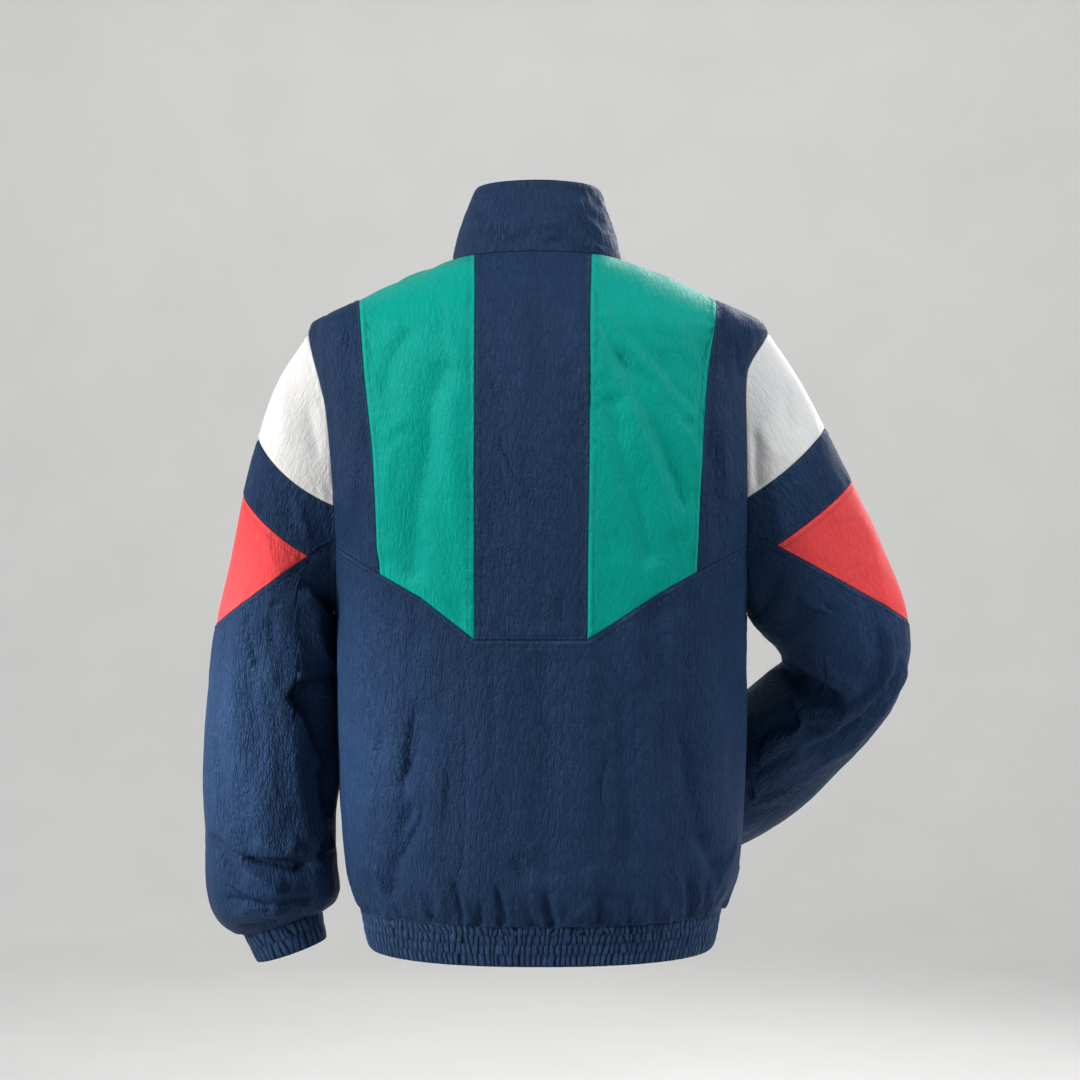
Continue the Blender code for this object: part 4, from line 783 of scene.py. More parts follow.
LEFT_SLEEVE_BACK = [
    (-1.6, 7, 226, 140, 222, 166, 213, 204), (1.2, 9, 252, 120, 252, 160, 244, 190),
    (-0.9, 4, 266, 150, 262, 180, 258, 200), (1.3, 3.6, 264, 212, 260, 236, 251, 262),
    (-1.1, 4, 278, 216, 275, 240, 268, 260), (1.5, 4.5, 238, 232, 232, 256, 222, 282),
    (-1.2, 4, 248, 226, 242, 250, 234, 272), (1, 4, 272, 262, 262, 290, 250, 312),
    (-0.8, 3.5, 290, 270, 286, 300, 288, 326), (2.6, 9, 266, 396, 254, 440, 240, 502, 232, 544, 226, 586),
    (-5.5, 12, 234, 424, 222, 450, 213, 490, 207, 560), (-4, 7, 248, 434, 234, 424, 218, 415, 192, 408),
    (6, 12, 230, 318, 221, 350, 215, 378, 213, 400), (-1.8, 3, 263, 340, 257, 341, 250, 343),
    (-2.2, 4.5, 262, 346, 260, 366, 260, 392), (-2.4, 9, 318, 470, 314, 510, 304, 568),
    (1.6, 8, 300, 400, 296, 460, 290, 520), (-1.2, 5, 286, 390, 278, 440, 272, 500),
    (-1, 4, 306, 360, 308, 410, 312, 450), (-4.2, 7, 326, 564, 314, 590, 303, 610, 288, 622),
    (3.4, 7, 288, 576, 262, 582, 226, 584), (-8, 6, 296, 590, 276, 596, 259, 598, 216, 601),
    (5.2, 6, 294, 603, 278, 610, 264, 618, 247, 629), (-4.2, 5, 318, 636, 304, 633, 288, 635, 266, 640),
    (4.2, 6, 308, 648, 290, 645, 258, 646), (-4, 6, 262, 640, 246, 634, 230, 632),
    (-3.2, 4.5, 300, 660, 284, 660, 262, 657),
]

LEFT_SLEEVE_FRONT = [
    (-1.4, 6, 240, 130, 234, 170, 226, 210), (1.4, 8, 262, 160, 264, 210, 262, 260),
    (-2.4, 6, 300, 330, 276, 352, 250, 362, 222, 360), (3, 7, 304, 352, 280, 372, 252, 380, 224, 376),
    (-4, 6, 312, 392, 286, 398, 258, 398, 226, 392), (3.2, 7, 314, 416, 290, 418, 256, 416),
    (-3, 6, 318, 440, 294, 434, 262, 430, 234, 420), (-2.2, 9, 300, 470, 292, 520, 284, 560),
    (2, 8, 272, 460, 268, 520, 262, 570), (-5, 5.5, 318, 588, 296, 594, 262, 596, 228, 590),
    (3.6, 5.5, 312, 602, 290, 610, 262, 612), (-4, 5, 306, 632, 286, 632, 256, 628),
    (3, 5, 296, 648, 276, 646, 250, 640),
]

RIGHT_SLEEVE_BACK = [
    (-1.6, 8, -240, 120, -243, 150, -247, 178), (-2.4, 5, -206, 170, -208, 200, -211, 234),
    (1.5, 6, -212, 160, -220, 184, -232, 206), (0.9, 4, -262, 150, -272, 176, -276, 190),
    (1.3, 4, -228, 226, -233, 252, -240, 284), (-1, 4, -250, 222, -256, 246, -262, 266),
    (-0.8, 4, -280, 250, -296, 290, -304, 318), (0.9, 4.5, -312, 246, -330, 290, -338, 322),
    (1.6, 6, -322, 286, -334, 324, -346, 352),
    (4, 6, -236, 374, -256, 388, -276, 403, -300, 418, -318, 434),
    (-9, 7, -224, 396, -246, 410, -266, 424, -288, 438, -302, 450),
    (4.2, 6, -262, 447, -278, 449, -296, 452, -314, 452), (-5, 6, -256, 462, -276, 472, -290, 476),
    (3.2, 4, -338, 352, -345, 388, -343, 420, -318, 450, -294, 468, -262, 482),
    (-5.2, 5, -352, 408, -348, 432, -326, 458, -292, 482, -262, 494),
    (2.8, 4, -360, 388, -364, 414, -345, 448, -314, 489, -280, 508),
    (-2, 5, -330, 356, -332, 392, -318, 424), (1.8, 5, -304, 352, -316, 384, -312, 410),
    (-1.8, 4, -272, 340, -280, 344, -292, 348), (-2, 5, -246, 330, -254, 352, -276, 366),
    (1.6, 4, -224, 550, -244, 544, -264, 536), (-1.6, 4, -208, 566, -232, 558, -254, 551),
    (1.4, 4, -240, 520, -262, 506, -286, 490), (-1.6, 5, -216, 520, -240, 500, -262, 484),
    (1.4, 5, -190, 590, -214, 582, -236, 570),
]

RIGHT_SLEEVE_FRONT = [
    (-1.4, 6, -238, 130, -244, 170, -250, 210), (1.6, 8, -270, 180, -290, 230, -306, 280),
    (-2, 8, -290, 230, -316, 290, -334, 330), (-5, 7, -240, 376, -270, 384, -304, 382, -336, 372),
    (4.4, 7, -244, 396, -276, 402, -312, 400, -346, 390),
    (-6.5, 7, -238, 412, -270, 424, -306, 426, -340, 420),
    (4, 6, -236, 432, -264, 446, -296, 452, -330, 450),
    (-4.5, 6, -230, 448, -256, 468, -284, 478, -312, 480), (2.4, 6, -216, 470, -240, 492, -268, 504),
    (-2.4, 6, -200, 500, -222, 520, -248, 532), (1.8, 6, -180, 530, -200, 548, -224, 558),
    (-2, 5, -164, 560, -184, 578, -204, 588),
]


CREASE_DEPTH = 1.3
CREASE_WIDTH = 1.12
CREASE_FADE = 0.016
GATHER_WIDTH = 0.72
GATHER_DEPTH = 0.78
GATHER_END_Z = HEM_SEAM_Z + 0.012


def wandering(x, z, reach, size_x, size_z, seed):
    """Places that wander a little from the true ones, since straight creases would look drawn."""
    by_axis = [
        value + reach * MM * noise(x / size_x, z / size_z, level, seed + i)
        for i, (value, level) in enumerate(((x, 0.5), (z, 7.5)))
    ]
    return np.stack(by_axis, axis=-1)


def close_to(places, x, z, room):
    """The corners of a crease in metres, and which points lie within room of the box round them."""
    corners = np.array(places, float).reshape(-1, 2) * (MM, -MM)
    low, high = corners.min(axis=0) - room, corners.max(axis=0) + room
    return corners, np.flatnonzero((x > low[0]) & (x < high[0]) & (z > low[1]) & (z < high[1]))


def place_on(corners, spots):
    """Each spot's distance from a line of corners, its place along it, and the distance signed by side."""
    reached = length_of(corners)
    best = np.full(len(spots), np.inf)
    place, signed = np.zeros(len(spots)), np.zeros(len(spots))
    for i, span in enumerate(np.diff(corners, axis=0)):
        offset = spots - corners[i]
        share = np.clip(offset @ span / (span @ span), 0, 1)
        away = np.linalg.norm(offset - share[:, None] * span, axis=1)
        side = np.sign(offset[:, 1] * span[0] - offset[:, 0] * span[1])
        closer = away < best
        best = np.where(closer, away, best)
        signed = np.where(closer, side * away, signed)
        place = np.where(closer, reached[i] + share * (reached[i + 1] - reached[i]), place)
    return best, place, signed, reached[-1]


def creases(table, x, z):
    """How far the creases of a table move the cloth at points seen from behind or from the front."""
    spots = wandering(x, z, 1.6, 0.011, 0.016, 3)
    total = np.zeros(x.shape)
    for depth, width, *places in table:
        corners, near = close_to(places, x, z, 3 * width * MM)
        if len(near) == 0:
            continue
        away, place, _, length = place_on(corners, spots[near])
        fade = min(0.34 * length, CREASE_FADE)
        taper = smooth_step(0, fade, place)
        if corners[-1, 1] > GATHER_END_Z:
            taper = taper * smooth_step(0, fade, length - place)
            spread = CREASE_WIDTH
        else:
            depth, spread = depth * GATHER_DEPTH, GATHER_WIDTH
        profile = np.exp(-((away / (width * spread * MM)) ** 1.6))
        total[near] += depth * CREASE_DEPTH * MM * taper * profile
    return total


# Folds where the cloth drops behind an edge and then rises slowly again: the drop, how far the rise takes,
# and the points of the edge. The drop is on the right of the way that the points run, as seen from behind.
BODY_FOLDS = [
    (3.6, 15, 137, 540, 132, 500, 124, 450, 118, 416), (4.6, 14, 146, 594, 130, 566, 118, 545, 108, 514),
    (3.2, 16, 133, 510, 122, 480, 110, 440), (2.8, 12, 162, 530, 156, 480, 148, 440),
    (2.4, 10, 92, 560, 90, 510, 84, 470), (2.4, 16, -128, 600, -146, 548, -156, 500),
    (2.6, 9, -196, 560, -186, 590, -170, 616, -158, 636), (2.2, 8, -186, 572, -172, 600, -150, 628),
    (1.6, 10, 46, 360, 40, 420, 42, 480), (1.6, 12, -22, 390, -26, 450, -22, 520),
    (1.8, 12, -84, 380, -92, 440, -94, 520),
]
LEFT_SLEEVE_FOLDS = [
    (9, 30, 203, 392, 209, 366, 216, 342, 230, 318),
    (11, 42, 214, 516, 222, 482, 235, 450, 249, 428, 231, 411, 208, 404, 184, 405),
    (8, 34, 208, 576, 217, 540, 222, 510, 208, 484, 188, 460),
    (7, 16, 214, 604, 222, 592, 219, 577, 210, 566, 200, 560),
    (8, 15, 330, 562, 312, 576, 290, 590, 262, 590, 232, 588, 212, 584),
    (3.5, 9, 322, 606, 306, 620, 284, 630, 262, 634), (3, 9, 300, 636, 280, 642, 256, 642, 236, 636),
    (2.6, 16, 276, 420, 284, 384, 290, 352),
]
RIGHT_SLEEVE_FOLDS = [
    (7, 26, -218, 376, -235, 389, -256, 402, -278, 416, -296, 430, -312, 446),
    (6, 30, -236, 392, -246, 412, -253, 440, -262, 465, -250, 473, -230, 478, -224, 500, -228, 526),
    (4, 10, -318, 440, -296, 452, -276, 456, -258, 456),
    (3.2, 12, -338, 372, -341, 400, -336, 424, -310, 446, -284, 466, -270, 484),
    (3, 9, -355, 384, -356, 412, -341, 440, -314, 468, -282, 492),
    (5, 14, -206, 532, -214, 524, -222, 536, -216, 548), (3.5, 14, -246, 330, -266, 346, -290, 352),
    (3.5, 10, -200, 560, -226, 552, -256, 538, -280, 520), (1.6, 9, -346, 356, -352, 378, -350, 402),
]


def fold_shape(table, x, z):
    """How far the folds of a table move the cloth at points as seen."""
    spots = wandering(x, z, 1.3, 0.012, 0.012, 13)
    total = np.zeros(x.shape)
    for drop, rise, *places in table:
        corners, near = close_to(places, x, z, 2.2 * rise * MM)
        if len(near) == 0:
            continue
        away, place, signed, length = place_on(corners, spots[near])
        fade = 0.38 * length
        taper = smooth_step(0, fade, place) * smooth_step(0, fade, length - place)
        roll = 0.20 * np.exp(-((away / (0.6 * rise * MM)) ** 2))
        roll = roll + 0.20 * np.exp(-((away / (0.25 * rise * MM)) ** 2))
        hollow = -np.exp(-away / (rise * MM))
        past_edge = smooth_step(-0.08 * drop * MM, 0.34 * drop * MM, signed)
        total[near] += drop * MM * taper * ((1 - past_edge) * roll + past_edge * hollow)
    return total


def hand_creases(points, normals, back_table, front_table, folds):
    """Creases of the back and of the front, each dying away where the cloth turns out of its view."""
    shape = points.shape[:2]
    x, z, facing = points[..., 0].ravel(), points[..., 2].ravel(), normals[..., 1]
    folded = fold_shape(folds, x, z)
    behind = (creases(back_table, x, z) + folded).reshape(shape) * smooth_step(0.02, 0.40, facing)
    ahead = (creases(front_table, x, z) + 0.6 * folded).reshape(shape) * smooth_step(0.02, 0.40, -facing)
    return behind + ahead


def crinkle(grain, seed, streaks=1.0, soft=1.0):
    """The crumple of light nylon: long soft pleats down the grain, and short uneven furrows across them."""
    across, along = grain[..., 0], grain[..., 1]
    bent = across + 0.007 * noise(across / 0.05, along / 0.07, 0.5, seed)
    waves = noise(bent / 0.021, along / 0.120, 1.5, seed + 1)
    pleats = rounded_ridges(1.4 * noise(bent / 0.017, along / 0.075, 2.5, seed + 2))
    rising = rounded_ridges(noise((bent - 0.50 * along) / 0.0070, along / 0.018, 3.5, seed + 3))
    falling = rounded_ridges(noise((bent + 0.38 * along) / 0.0078, along / 0.021, 6.5, seed + 6))
    patchy = smooth_step(-0.35, 0.45, noise(across / 0.030, along / 0.055, 4.5, seed + 4))
    turned = smooth_step(-0.25, 0.25, noise(across / 0.026, along / 0.040, 8.5, seed + 7))
    lumps = noise(bent / 0.014, along / 0.019, 5.5, seed + 5)
    return MM * (
        soft * 2.5 * waves
        + streaks * (0.16 + 0.46 * patchy) * pleats
        + streaks * (0.12 + 0.20 * patchy) * (turned * rising + (1 - turned) * falling)
        + 0.30 * streaks * lumps
    )


# ---- grids

EDGE_ROWS = MM * np.array([0.7, 1.6, 2.7, 3.9, 5.0, 5.8, 6.5, 7.3, 8.6, 10.4, 12.6])
STEPS = {BACK: 0.0028, FRONT: 0.0052}
SLEEVE_STEP = 0.0029


def shares_over(length, step, near_start=True, near_end=True):
    """Shares of a length, closer together near the ends that are seams."""
    rows = EDGE_ROWS[EDGE_ROWS < length / 2 - step]
    first = rows if near_start else rows[:0]
    last = (length - rows[::-1]) if near_end else rows[:0]
    start = first[-1] if len(first) else 0.0
    end = last[0] if len(last) else length
    count = max(1, round((end - start) / step))
    middle = np.linspace(start, end, count + 1)[1:-1]
    places = [0.0, *first, *middle, *last, length]
    return np.array(places) / length


def mean_length(edges, face):
    return float(np.mean([along_seam(joined(*edge), face)[-1] for edge in edges]))


class Seam:
    """How the cloth behaves beside one edge of a grid.

    puffs: whether the cloth puffs up away from the edge. still: the distance over which creases fade to
    nothing. pucker: the height of the small puckers. stitches: the distances from the edge of rows of
    stitching, where the material paints shade in the groove. reach: how far the puckers go. groove: how far
    the stitches pull the cloth in. drawn: whether the seam shows as a fine dark line of painted shade.
    """

    def __init__(self, pucker=0.35, puffs=True, still=None, stitches=(), reach=8.0, groove=0.55, drawn=True):
        self.puffs, self.still, self.pucker, self.reach = puffs, still, pucker, reach
        self.stitches, self.groove, self.drawn = stitches, groove, drawn


# Each turns a grid so that one of its edges is the first row, and TURNS_BACK undoes it.
TURNS = {
    "top": lambda grid: grid,
    "bottom": lambda grid: grid[::-1],
    "left": lambda grid: np.swapaxes(grid, 0, 1),
    "right": lambda grid: np.swapaxes(grid, 0, 1)[::-1],
}
TURNS_BACK = {**TURNS, "right": lambda grid: np.swapaxes(grid[::-1], 0, 1)}


def beside(points, edge):
    """Each grid point's distance from an edge, and the point of the edge nearest to it."""
    grid = TURNS[edge](points)
    line = grid[0]
    tangent = unit(np.gradient(line, axis=0), TINY)
    offset = grid - line[None]
    along = np.sum(offset * tangent[None], axis=-1, keepdims=True)
    square = np.linalg.norm(offset - along * tangent[None], axis=-1)
    steps = np.linalg.norm(np.diff(grid, axis=0), axis=-1)
    travelled = np.concatenate([np.zeros((1, grid.shape[1])), np.cumsum(steps, axis=0)])
    distance = np.maximum(square, 0.35 * travelled)
    sign = np.where(tangent[:, 2:] + 0.3 * tangent[:, :1] > 0, -1.0, 1.0)
    foot = line[None] + (along + 0.45 * distance[..., None] * sign[None]) * tangent[None]
    return TURNS_BACK[edge](distance), TURNS_BACK[edge](foot)


PUFF = 0.42 * MM
PUFF_WIDTH = 1.9 * MM
PUCKER_SIZE = 4.3 * MM
SEAM_DIP = 2.4 * MM  # how far the cloth above an elastic band takes to rise from its seam


def bell(distance, width):
    return np.exp(-((distance / width) ** 2))


def relief(points, seams, large, small):
    """The height of the cloth above its plain surface, from what each edge asks for."""
    shape = points.shape[:2]
    nearest, still, puffing = np.full(shape, 1.0), np.ones(shape), np.ones(shape)
    extra, sewn = np.zeros(shape), np.zeros(shape)
    for edge, seam in seams.items():
        if seam is None:
            continue
        distance, foot = beside(points, edge)
        nearest = np.minimum(nearest, distance)
        if not seam.drawn:
            nearest = np.where(distance <= nearest, np.maximum(nearest, 0.002), nearest)
        if seam.puffs:
            puffing = np.minimum(puffing, 1 - bell(distance, PUFF_WIDTH))
        if seam.still:
            still = np.minimum(still, 1 - bell(distance, seam.still))
        if seam.pucker:
            rise = smooth_step(0.3 * MM, 2.6 * MM, distance)
            fall = 1 - smooth_step(0.72 * seam.reach * MM, 1.35 * seam.reach * MM, distance)
            spots = foot / PUCKER_SIZE
            lively = 0.45 + 0.55 * smooth_step(-0.5, 0.5, noise_at(foot / 0.04, 21))
            bumps = noise_at(spots, 22) + 0.4 * noise_at(spots * 2.1, 23)
            extra += seam.pucker * MM * lively * rise * fall * bumps
        for row in seam.stitches:
            extra -= seam.groove * MM * bell(distance - row * MM, 0.95 * MM)
            # sewn marks the stitch rows, where the material paints shade in the stitching's groove.
            sewn = np.maximum(sewn, bell(distance - row * MM, 0.6 * MM))
    height = still * large + puffing * (PUFF + still * small) + extra * np.minimum(1, nearest / (0.9 * MM))
    return height, nearest, sewn


# ---- shells from grids


def welded(points):
    """For each point, the first one at the same place."""
    keys = np.round(points * 2e6).astype(np.int64)
    _, first, place = np.unique(keys, axis=0, return_index=True, return_inverse=True)
    return first, place.reshape(-1)


def add_object(name, points, faces):
    mesh = bpy.data.meshes.new(name)
    mesh.from_pydata(points, [], faces)
    mesh.shade_smooth()
    made = bpy.data.objects.new(name, mesh)
    bpy.context.collection.objects.link(made)
    return made


def shell(name, outer, ways, wall, grain, facts, closed=False, rim=0):
    """A closed shell from a grid of points: the outer face, the inner face, and the rims between them.

    rim is the number of rows that round off each open edge. facts are values kept for the material.
    """
    rows, columns = outer.shape[:2]
    count = rows * columns
    index = np.arange(count).reshape(rows, columns)
    here = [index[:-1, :-1], index[1:, :-1], index[1:, 1:], index[:-1, 1:]]
    quads = [np.stack(here, axis=-1).reshape(-1, 4)]
    quads.append(quads[0][:, ::-1] + count)
    top, bottom = outer.reshape(-1, 3), (outer - ways * wall).reshape(-1, 3)
    points, sources = [top, bottom], [np.arange(count)] * 2
    total = 2 * count
    # Each edge that is open, with the row of points beside it.
    edges = [(index[0], index[1]), (index[-1][::-1], index[-2][::-1])]
    if not closed:
        edges += [(index[:, 0][::-1], index[:, 1][::-1]), (index[:, -1], index[:, -2])]
    for edge, inside in edges:
        middle, across = (top[edge] + bottom[edge]) / 2, (top[edge] - bottom[edge]) / 2
        away = unit(top[edge] - top[inside], TINY)
        strips = [edge]
        for k in range(rim):
            turn = math.pi * (k + 1) / (rim + 1)
            points.append(middle + across * math.cos(turn) + away * (wall / 2) * math.sin(turn))
            sources.append(edge)
            strips.append(np.arange(total, total + len(edge)))
            total += len(edge)
        strips.append(edge + count)
        for first, second in zip(strips, strips[1:]):
            quads.append(np.stack([first[:-1], first[1:], second[1:], second[:-1]], axis=-1))
    points, source, quads = (np.concatenate(parts) for parts in (points, sources, quads))
    grains = grain.reshape(-1, 2)[source]
    a, b, c = (points[quads[: (rows - 1) * (columns - 1), i]] for i in (0, 1, 2))
    starts = ways.reshape(-1, 3)[quads[: (rows - 1) * (columns - 1), 0]]
    if np.sum(np.cross(b - a, c - a) * starts) < 0:
        quads = quads[:, ::-1]
    first, place = welded(points)
    corners = place[quads]
    same = corners == np.roll(corners, -1, axis=1)
    full = ~same.any(axis=1)
    faces = [tuple(face) for face in corners[full].tolist()]
    uv = [grains[quads[full]].reshape(-1, 2)]
    for face, quad, flags in zip(corners[~full], quads[~full], same[~full]):
        kept = ~flags
        if kept.sum() == 3 and len(set(face[kept].tolist())) == 3:
            faces.append(tuple(face[kept].tolist()))
            uv.append(grains[quad[kept]])
    piece = add_object(name, points[first].tolist(), faces)
    layer = piece.data.uv_layers.new(name="grain")
    layer.data.foreach_set("uv", np.concatenate(uv).astype(np.float32).ravel())
    for fact, values in facts.items():
        attribute = piece.data.attributes.new(fact, "FLOAT", "POINT")
        attribute.data.foreach_set("value", values.reshape(-1)[source][first].astype(np.float32))
    return piece


def grid_area(points):
    a, b, c, d = points[:-1, :-1], points[1:, :-1], points[1:, 1:], points[:-1, 1:]
    return float(0.5 * np.linalg.norm(np.cross(c - a, d - b), axis=-1).sum())


def longest(points):
    """The longest column and the longest row of a grid."""
    down = np.linalg.norm(np.diff(points, axis=0), axis=-1).sum(axis=0).max()
    across = np.linalg.norm(np.diff(points, axis=1), axis=-1).sum(axis=1).max()
    return float(across), float(down)


SHEETS = []
STITCH_LINES = []
NO_SEAM = 9.0  # millimetres to the nearest seam, for cloth that shows none


def lay(piece, name, flat, held, rests_on, area, colour):
    """Puts a piece of cloth in its solid's place, and keeps its sizes, how it is held, what it rests on, its
    area and its colour in SHEETS.
    """
    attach(piece, "jacket")
    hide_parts(name)
    SHEETS.append((piece, flat, held, [other + "_cloth" for other in rests_on], area, colour))


def stitch_line(outer, ways, base, edge, distance, colour):
    """Keeps the line at a distance from a grid's edge, on the finished cloth, for the stitches."""
    away, _ = beside(base, edge)
    away, top, up = (TURNS[edge](grid) for grid in (away, outer, ways))
    row = np.argmax(away >= distance * MM, axis=0)
    columns = np.flatnonzero(row > 0)
    if len(columns) < 4:
        return
    row = row[columns]
    nearer, farther = away[row - 1, columns], away[row, columns]
    share = ((distance * MM - nearer) / np.maximum(farther - nearer, TINY))[:, None]
    line, up = (
        grid[row - 1, columns] * (1 - share) + grid[row, columns] * share for grid in (top, up)
    )
    # Only the longest unbroken run counts, so that no stitch jumps over a corner.
    gaps = np.flatnonzero(np.diff(columns) > 1) + 1
    starts, ends = np.concatenate([[0], gaps]), np.concatenate([gaps, [len(columns)]])
    best = int(np.argmax(ends - starts))
    run = slice(starts[best], ends[best])
    STITCH_LINES.append((line[run], up[run], colour))


def cloth(name, base, normals, grain, seams, large, small, colour, rests_on, closed=False, wall=CLOTH, rim=0,
          cut=(1.0, 1.0), hug=None, lean_in=0.0):
    """Makes one piece of cloth over its plain surface.

    cut says how much longer and wider it is cut. hug is the height it may not pass, and lean_in moves it all.
    """
    height, nearest, sewn = relief(base, seams, large, small)
    if closed:
        # The two ends of a closed ring meet at one height.
        rise = (height[:, -1:] - height[:, :1]) / 2
        run = np.broadcast_to(np.linspace(0, 1, height.shape[1]), height.shape)
        height = height + rise * (np.exp(-run / 0.04) - np.exp(-(1 - run) / 0.04))
    if hug is not None:
        height = np.where(hug > 0, np.minimum(height, hug), height)
    height = height + lean_in
    outer = base + normals * height[..., None]
    ways = grid_normals(outer, normals)
    if closed:
        close_ring(ways)
    # The fine relief, the seam distance and the stitch rows go to the material, which paints shade and light
    # from them.
    fine_height = height - lean_in - 0.8 * large
    facts = {"seam_distance": nearest / MM, "relief": fine_height / MM, "sewn": sewn}
    piece = shell(name + "_cloth", outer, ways, wall, grain, facts, closed, rim)
    for edge, seam in seams.items():
        for distance in seam.stitches if seam else ():
            stitch_line(outer, ways, base, edge, distance, colour)
    across, down = longest(base)
    width, length = across * cut[0], down * cut[1]
    area = min(grid_area(base) * cut[0] * cut[1], width * length)
    lay(piece, name, (width, length), "hung", rests_on, area, colour)


# ---- the body's pieces


class Half:
    """The seams of one side of the torso, each running from the middle outwards or from the top down."""

    def __init__(self, side, sleeve):
        name = SIDE_NAMES[side]
        self.side, self.name = side, name
        yoke = sleeve.yoke_angle
        self.armhole_back = armhole_seam(side, 0.0, yoke, BACK)
        self.underarm_back = armhole_seam(side, yoke, math.pi, BACK)
        self.armhole_front = armhole_seam(side, 0.0, math.pi, FRONT)
        self.shoulder_z = shoulder_height_of(name + "_outer")
        self.inner_edge = edge_down(name + "_inner", 0.0, YOKE_CENTRE_Z)
        self.outer_edge = edge_down(name + "_outer", self.shoulder_z, YOKE_AT_GREEN[side])
        self.neck_green = ring_seam(self.inner_edge[0, 0], side * RIGHT_ANGLE, 0.0)
        self.shoulder_green = side_line(side, 0.0, self.shoulder_z)
        self.shoulder_strip = side_line(side, self.shoulder_z, SHOULDER_Z)
        tip = (float(GREEN_EDGES(name + "_inner", YOKE_CENTRE_Z)), YOKE_CENTRE_Z)
        corner = (float(GREEN_EDGES(name + "_outer", YOKE_AT_GREEN[side])), YOKE_AT_GREEN[side])
        at_armhole = armhole_point(side, np.float64(yoke))
        self.yoke_inner = straight_seam(tip, YOKE_BEND[side], BACK)
        self.yoke_outer = straight_seam(YOKE_BEND[side], corner, BACK)
        self.yoke_inner[0] = self.inner_edge[-1]
        self.yoke_outer[-1] = self.outer_edge[-1]
        self.yoke_strip = straight_seam(corner, (at_armhole[0], at_armhole[2]), BACK)
        self.yoke_strip[0] = self.outer_edge[-1]
        self.yoke_strip[-1] = self.armhole_back[-1]
        self.neck_front = neck_front_seam(side)
        self.front_edge = front_edge_seam(side)
        self.front_edge[0] = self.neck_front[0]
        self.side_seam = side_line(side, UNDERARM_Z, HEM_SEAM_Z)


sleeves = {side: SleeveSeams(side) for side in (LEFT, RIGHT)}
halves = {side: Half(side, sleeves[side]) for side in (LEFT, RIGHT)}


FRONT_GRAIN = 0.6  # keeps the crinkles of the fronts apart from those of the back


def torso_piece(name, edges, face, seams, seed, colour, rests_on, cut=(1.0, 1.0), soft=1.0, streaks=1.0):
    """A piece of the torso between its top, bottom, left and right, each a list of seams end to end."""
    top, bottom, left, right = edges
    at = {edge: seams[edge] is not None for edge in seams}
    columns = shares_over(mean_length((top, bottom), face), STEPS[face], at["left"], at["right"])
    rows = shares_over(mean_length((left, right), face), STEPS[face], at["top"], at["bottom"])
    top_rows, bottom_rows = chain(top, face, columns), chain(bottom, face, columns)
    left_rows, right_rows = chain(left, face, rows), chain(right, face, rows)
    if name == "back_lower":
        bottom_rows = hem_under(top_rows, left_rows[-1, 0], right_rows[-1, 0], face)
    u, v = columns[None, :, None], rows[:, None, None]
    patch = blend_patch(top_rows, bottom_rows, left_rows, right_rows, u, v)
    lean, height = patch[..., 0], patch[..., 1]
    height += hem_wave(torso_point(lean, height, face), height)
    base = torso_point(lean, height, face)
    normals = torso_normal(lean, height, face)
    travelled = np.zeros(base.shape[:2])
    travelled[1:] = np.cumsum(np.linalg.norm(np.diff(base, axis=0), axis=-1), axis=0)
    share = torso_half_width(height, face, lean) / TRUNK("half_width", TRUNK_MIDDLE_Z)
    across = torso_across(lean) * share + (FRONT_GRAIN if face == FRONT else 0.0)
    grain = np.stack([across, travelled - base[:1, :, 2]], axis=-1)
    large = hand_creases(base, normals, BODY_BACK, BODY_FRONT, BODY_FOLDS) + hem_gathers(patch, base)
    small = crinkle(grain, seed, streaks, soft)
    at_side = smooth_step(0.80, 0.97, np.abs(normals[..., 0]))
    above_hem = (base[..., 2] > -0.60).astype(float)
    hug = np.where(at_side * above_hem > 0, (1.4 - 0.7 * at_side) * MM, 0.0)
    cloth(name, base, normals, grain, seams, large, small, colour, rests_on, cut=cut, hug=hug)


def hem_under(top, start, end, face):
    """The hem seam between two leans, with its rows spaced as those of the seam above it."""
    travelled = along_seam(top, face)
    fine = ring_seam(start, end, HEM_SEAM_Z)
    reached = along_seam(fine, face)
    return read_at(travelled / travelled[-1] * reached[-1], reached, fine)


def hem_wave(points, height):
    """How far the gathered hem seam wanders up and down, fading away above and below it."""
    turn = 0.14 * np.arctan2(points[..., 0], points[..., 1])
    wave = 1.3 * noise(turn / 0.011, 0.5, 0.5, 28) + 0.9 * noise(turn / 0.0045, 0.5, 0.5, 29)
    return MM * wave * np.exp(-np.abs(height - HEM_SEAM_Z) / 0.010)


def hem_gathers(patch, base):
    """The gathers that the elastic makes above the hem seam, deeper and closer together towards it."""
    above = np.maximum(patch[..., 1] - HEM_SEAM_Z, 0)
    round_body = torso_across(patch[..., 0]) + np.where(base[..., 1] < 0, 1.0, 0.0)
    lean = 0.25 * above * noise(round_body / 0.05, 0.3, 0.7, 31)
    wide = noise((round_body + lean) / 0.017, above / 0.060, 0.5, 32)
    close = rounded_ridges(noise((round_body + lean) / 0.0050, above / 0.030, 1.5, 33))
    overhang = np.exp(-above / 0.014) * (1 - bell(above, SEAM_DIP))
    return MM * (
        2.5 * wide * np.exp(-above / 0.026)
        + 2.9 * close * np.exp(-above / 0.015)
        + (0.9 + 0.9 * wide) * overhang
    )


NECK = Seam(0.45, still=0.010, reach=6.0)
ARM = Seam(0.75, still=0.008)
HEM = Seam(0.60, still=0.0012, reach=5.0, drawn=False)
PLAIN = Seam(0.60)
SHOULDER = Seam(0.35, stitches=(4.0,))
BESIDE_GREEN = Seam(0.60, stitches=(7.0,))
BESIDE_ZIP = Seam(0.25, stitches=(7.5,), reach=7.0)


def around(top, bottom, left, right):
    return {"top": top, "bottom": bottom, "left": left, "right": right}


